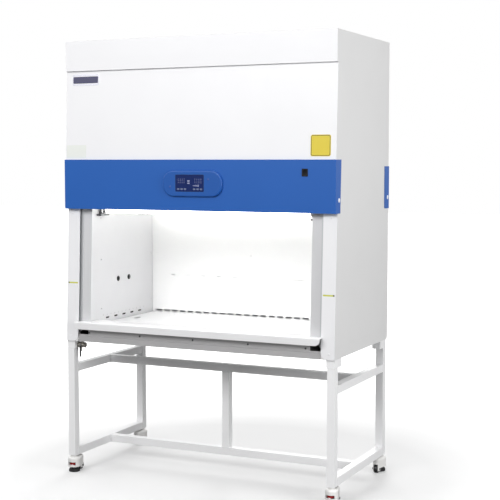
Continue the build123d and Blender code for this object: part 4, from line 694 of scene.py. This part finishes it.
# Camera, from its focal length in pixels of the square photograph
PHOTO_PIXELS, FOCAL_PIXELS, SENSOR_MM = 500, 1183.48, 36
CAMERA_DOWN, CAMERA_TURN = 0.074950, 0.440511
scene = bpy.context.scene
camera_data = bpy.data.cameras.new("camera")
camera_data.sensor_width = SENSOR_MM
camera_data.lens = FOCAL_PIXELS / PHOTO_PIXELS * SENSOR_MM
camera_data.clip_end = 200
camera = bpy.data.objects.new("camera", camera_data)
camera.location = (2.7413, -5.5265, 1.6367)
camera.rotation_euler = (pi / 2 - CAMERA_DOWN, 0, CAMERA_TURN)
scene.collection.objects.link(camera)
scene.camera = camera


# Lights
def area_light(name, place, target, size, power):
    """Large soft lamp that faces a point."""
    data = bpy.data.lights.new(name, "AREA")
    data.shape = "RECTANGLE"
    data.size, data.size_y = size
    data.energy = power
    lamp = bpy.data.objects.new(name, data)
    lamp.location = place
    lamp.rotation_euler = (Vector(target) - Vector(place)).to_track_quat("-Z", "Y").to_euler()
    lamp.visible_camera = False
    scene.collection.objects.link(lamp)


area_light("front_light", place=(-0.8, -5.4, 4.0), target=(0, 0, 1.2), size=(5.0, 2.2), power=238)
area_light("right_light", place=(5.5, -1.4, 1.7), target=(0, 0, 1.1), size=(3.0, 3.0), power=176)
area_light("top_light", place=(0, 0.2, 5.5), target=(0, 0, 1.0), size=(4.0, 4.0), power=22)
area_light("left_light", place=(-5.3, 0.6, 3.0), target=(0, 0.2, 1.1), size=(3.0, 2.4), power=75)
area_light("rear_light", place=(-1.6, 5.3, 3.2), target=(0, 0, 1.2), size=(2.2, 2.0), power=95)

# Background: a dim dome for diffuse light, full white to the camera and in glass and reflections
DOME_RISE, DOME_STRENGTH = (0.10, 0.50), (0.06, 0.46)
world = bpy.data.worlds.new("studio")
scene.world = world
world.use_nodes = True
nodes, links = world.node_tree.nodes, world.node_tree.links
ray = nodes.new("ShaderNodeLightPath")
direct = ray.outputs["Is Camera Ray"]
for kind in ("Is Transmission Ray", "Is Glossy Ray"):
    either = nodes.new("ShaderNodeMath")
    either.operation = "MAXIMUM"
    links.new(direct, either.inputs[0])
    links.new(ray.outputs[kind], either.inputs[1])
    direct = either.outputs[0]
direction = nodes.new("ShaderNodeTexCoord")
parts = nodes.new("ShaderNodeSeparateXYZ")
links.new(direction.outputs["Generated"], parts.inputs["Vector"])
dome = ranged(nodes, links, parts.outputs["Z"], DOME_STRENGTH, DOME_RISE)
level = add_node(nodes, "ShaderNodeMapRange", To_Max=1.0)
links.new(dome, level.inputs["To Min"])
links.new(direct, level.inputs["Value"])
background = nodes["Background"]
background.inputs["Color"].default_value = WHITE
links.new(level.outputs["Result"], background.inputs["Strength"])

# Floor, brighter to the camera with distance so that it meets the white background
GLOW_DISTANCE, GLOW_STRENGTH = (1.1, 3.2), (0.20, 1.0)
floor_shape = bmesh.new()
bmesh.ops.create_grid(floor_shape, x_segments=2, y_segments=2, size=30)
floor_mesh = bpy.data.meshes.new("floor")
floor_shape.to_mesh(floor_mesh)
floor_shape.free()
floor = bpy.data.objects.new("floor", floor_mesh)
scene.collection.objects.link(floor)
floor_material = surface("pale_floor", linear(214, 214, 214), 0.7, blotch=0.004, grain=0.02, grain_size=60)
floor_mesh.materials.append(floor_material)

# The floor's glow, which only the camera sees, and its darker colour for all other rays
nodes, links = floor_material.node_tree.nodes, floor_material.node_tree.links
shader = nodes["Principled BSDF"]
seen = nodes.new("ShaderNodeLightPath").outputs["Is Camera Ray"]
place = nodes.new("ShaderNodeTexCoord")
distance = nodes.new("ShaderNodeVectorMath")
distance.operation = "LENGTH"
links.new(place.outputs["Object"], distance.inputs[0])
glow = nodes.new("ShaderNodeMath")
glow.operation = "MULTIPLY"
links.new(seen, glow.inputs[0])
links.new(ranged(nodes, links, distance.outputs["Value"], GLOW_STRENGTH, GLOW_DISTANCE), glow.inputs[1])
links.new(glow.outputs[0], shader.inputs["Emission Strength"])
shader.inputs["Emission Color"].default_value = WHITE
shown = nodes.new("ShaderNodeMix")
shown.data_type = "RGBA"
shown.inputs["A"].default_value = linear(92, 92, 92)
links.new(seen, shown.inputs["Factor"])
links.new(shader.inputs["Base Color"].links[0].from_socket, shown.inputs["B"])
links.new(shown.outputs["Result"], shader.inputs["Base Color"])

scene.view_settings.view_transform = "Standard"
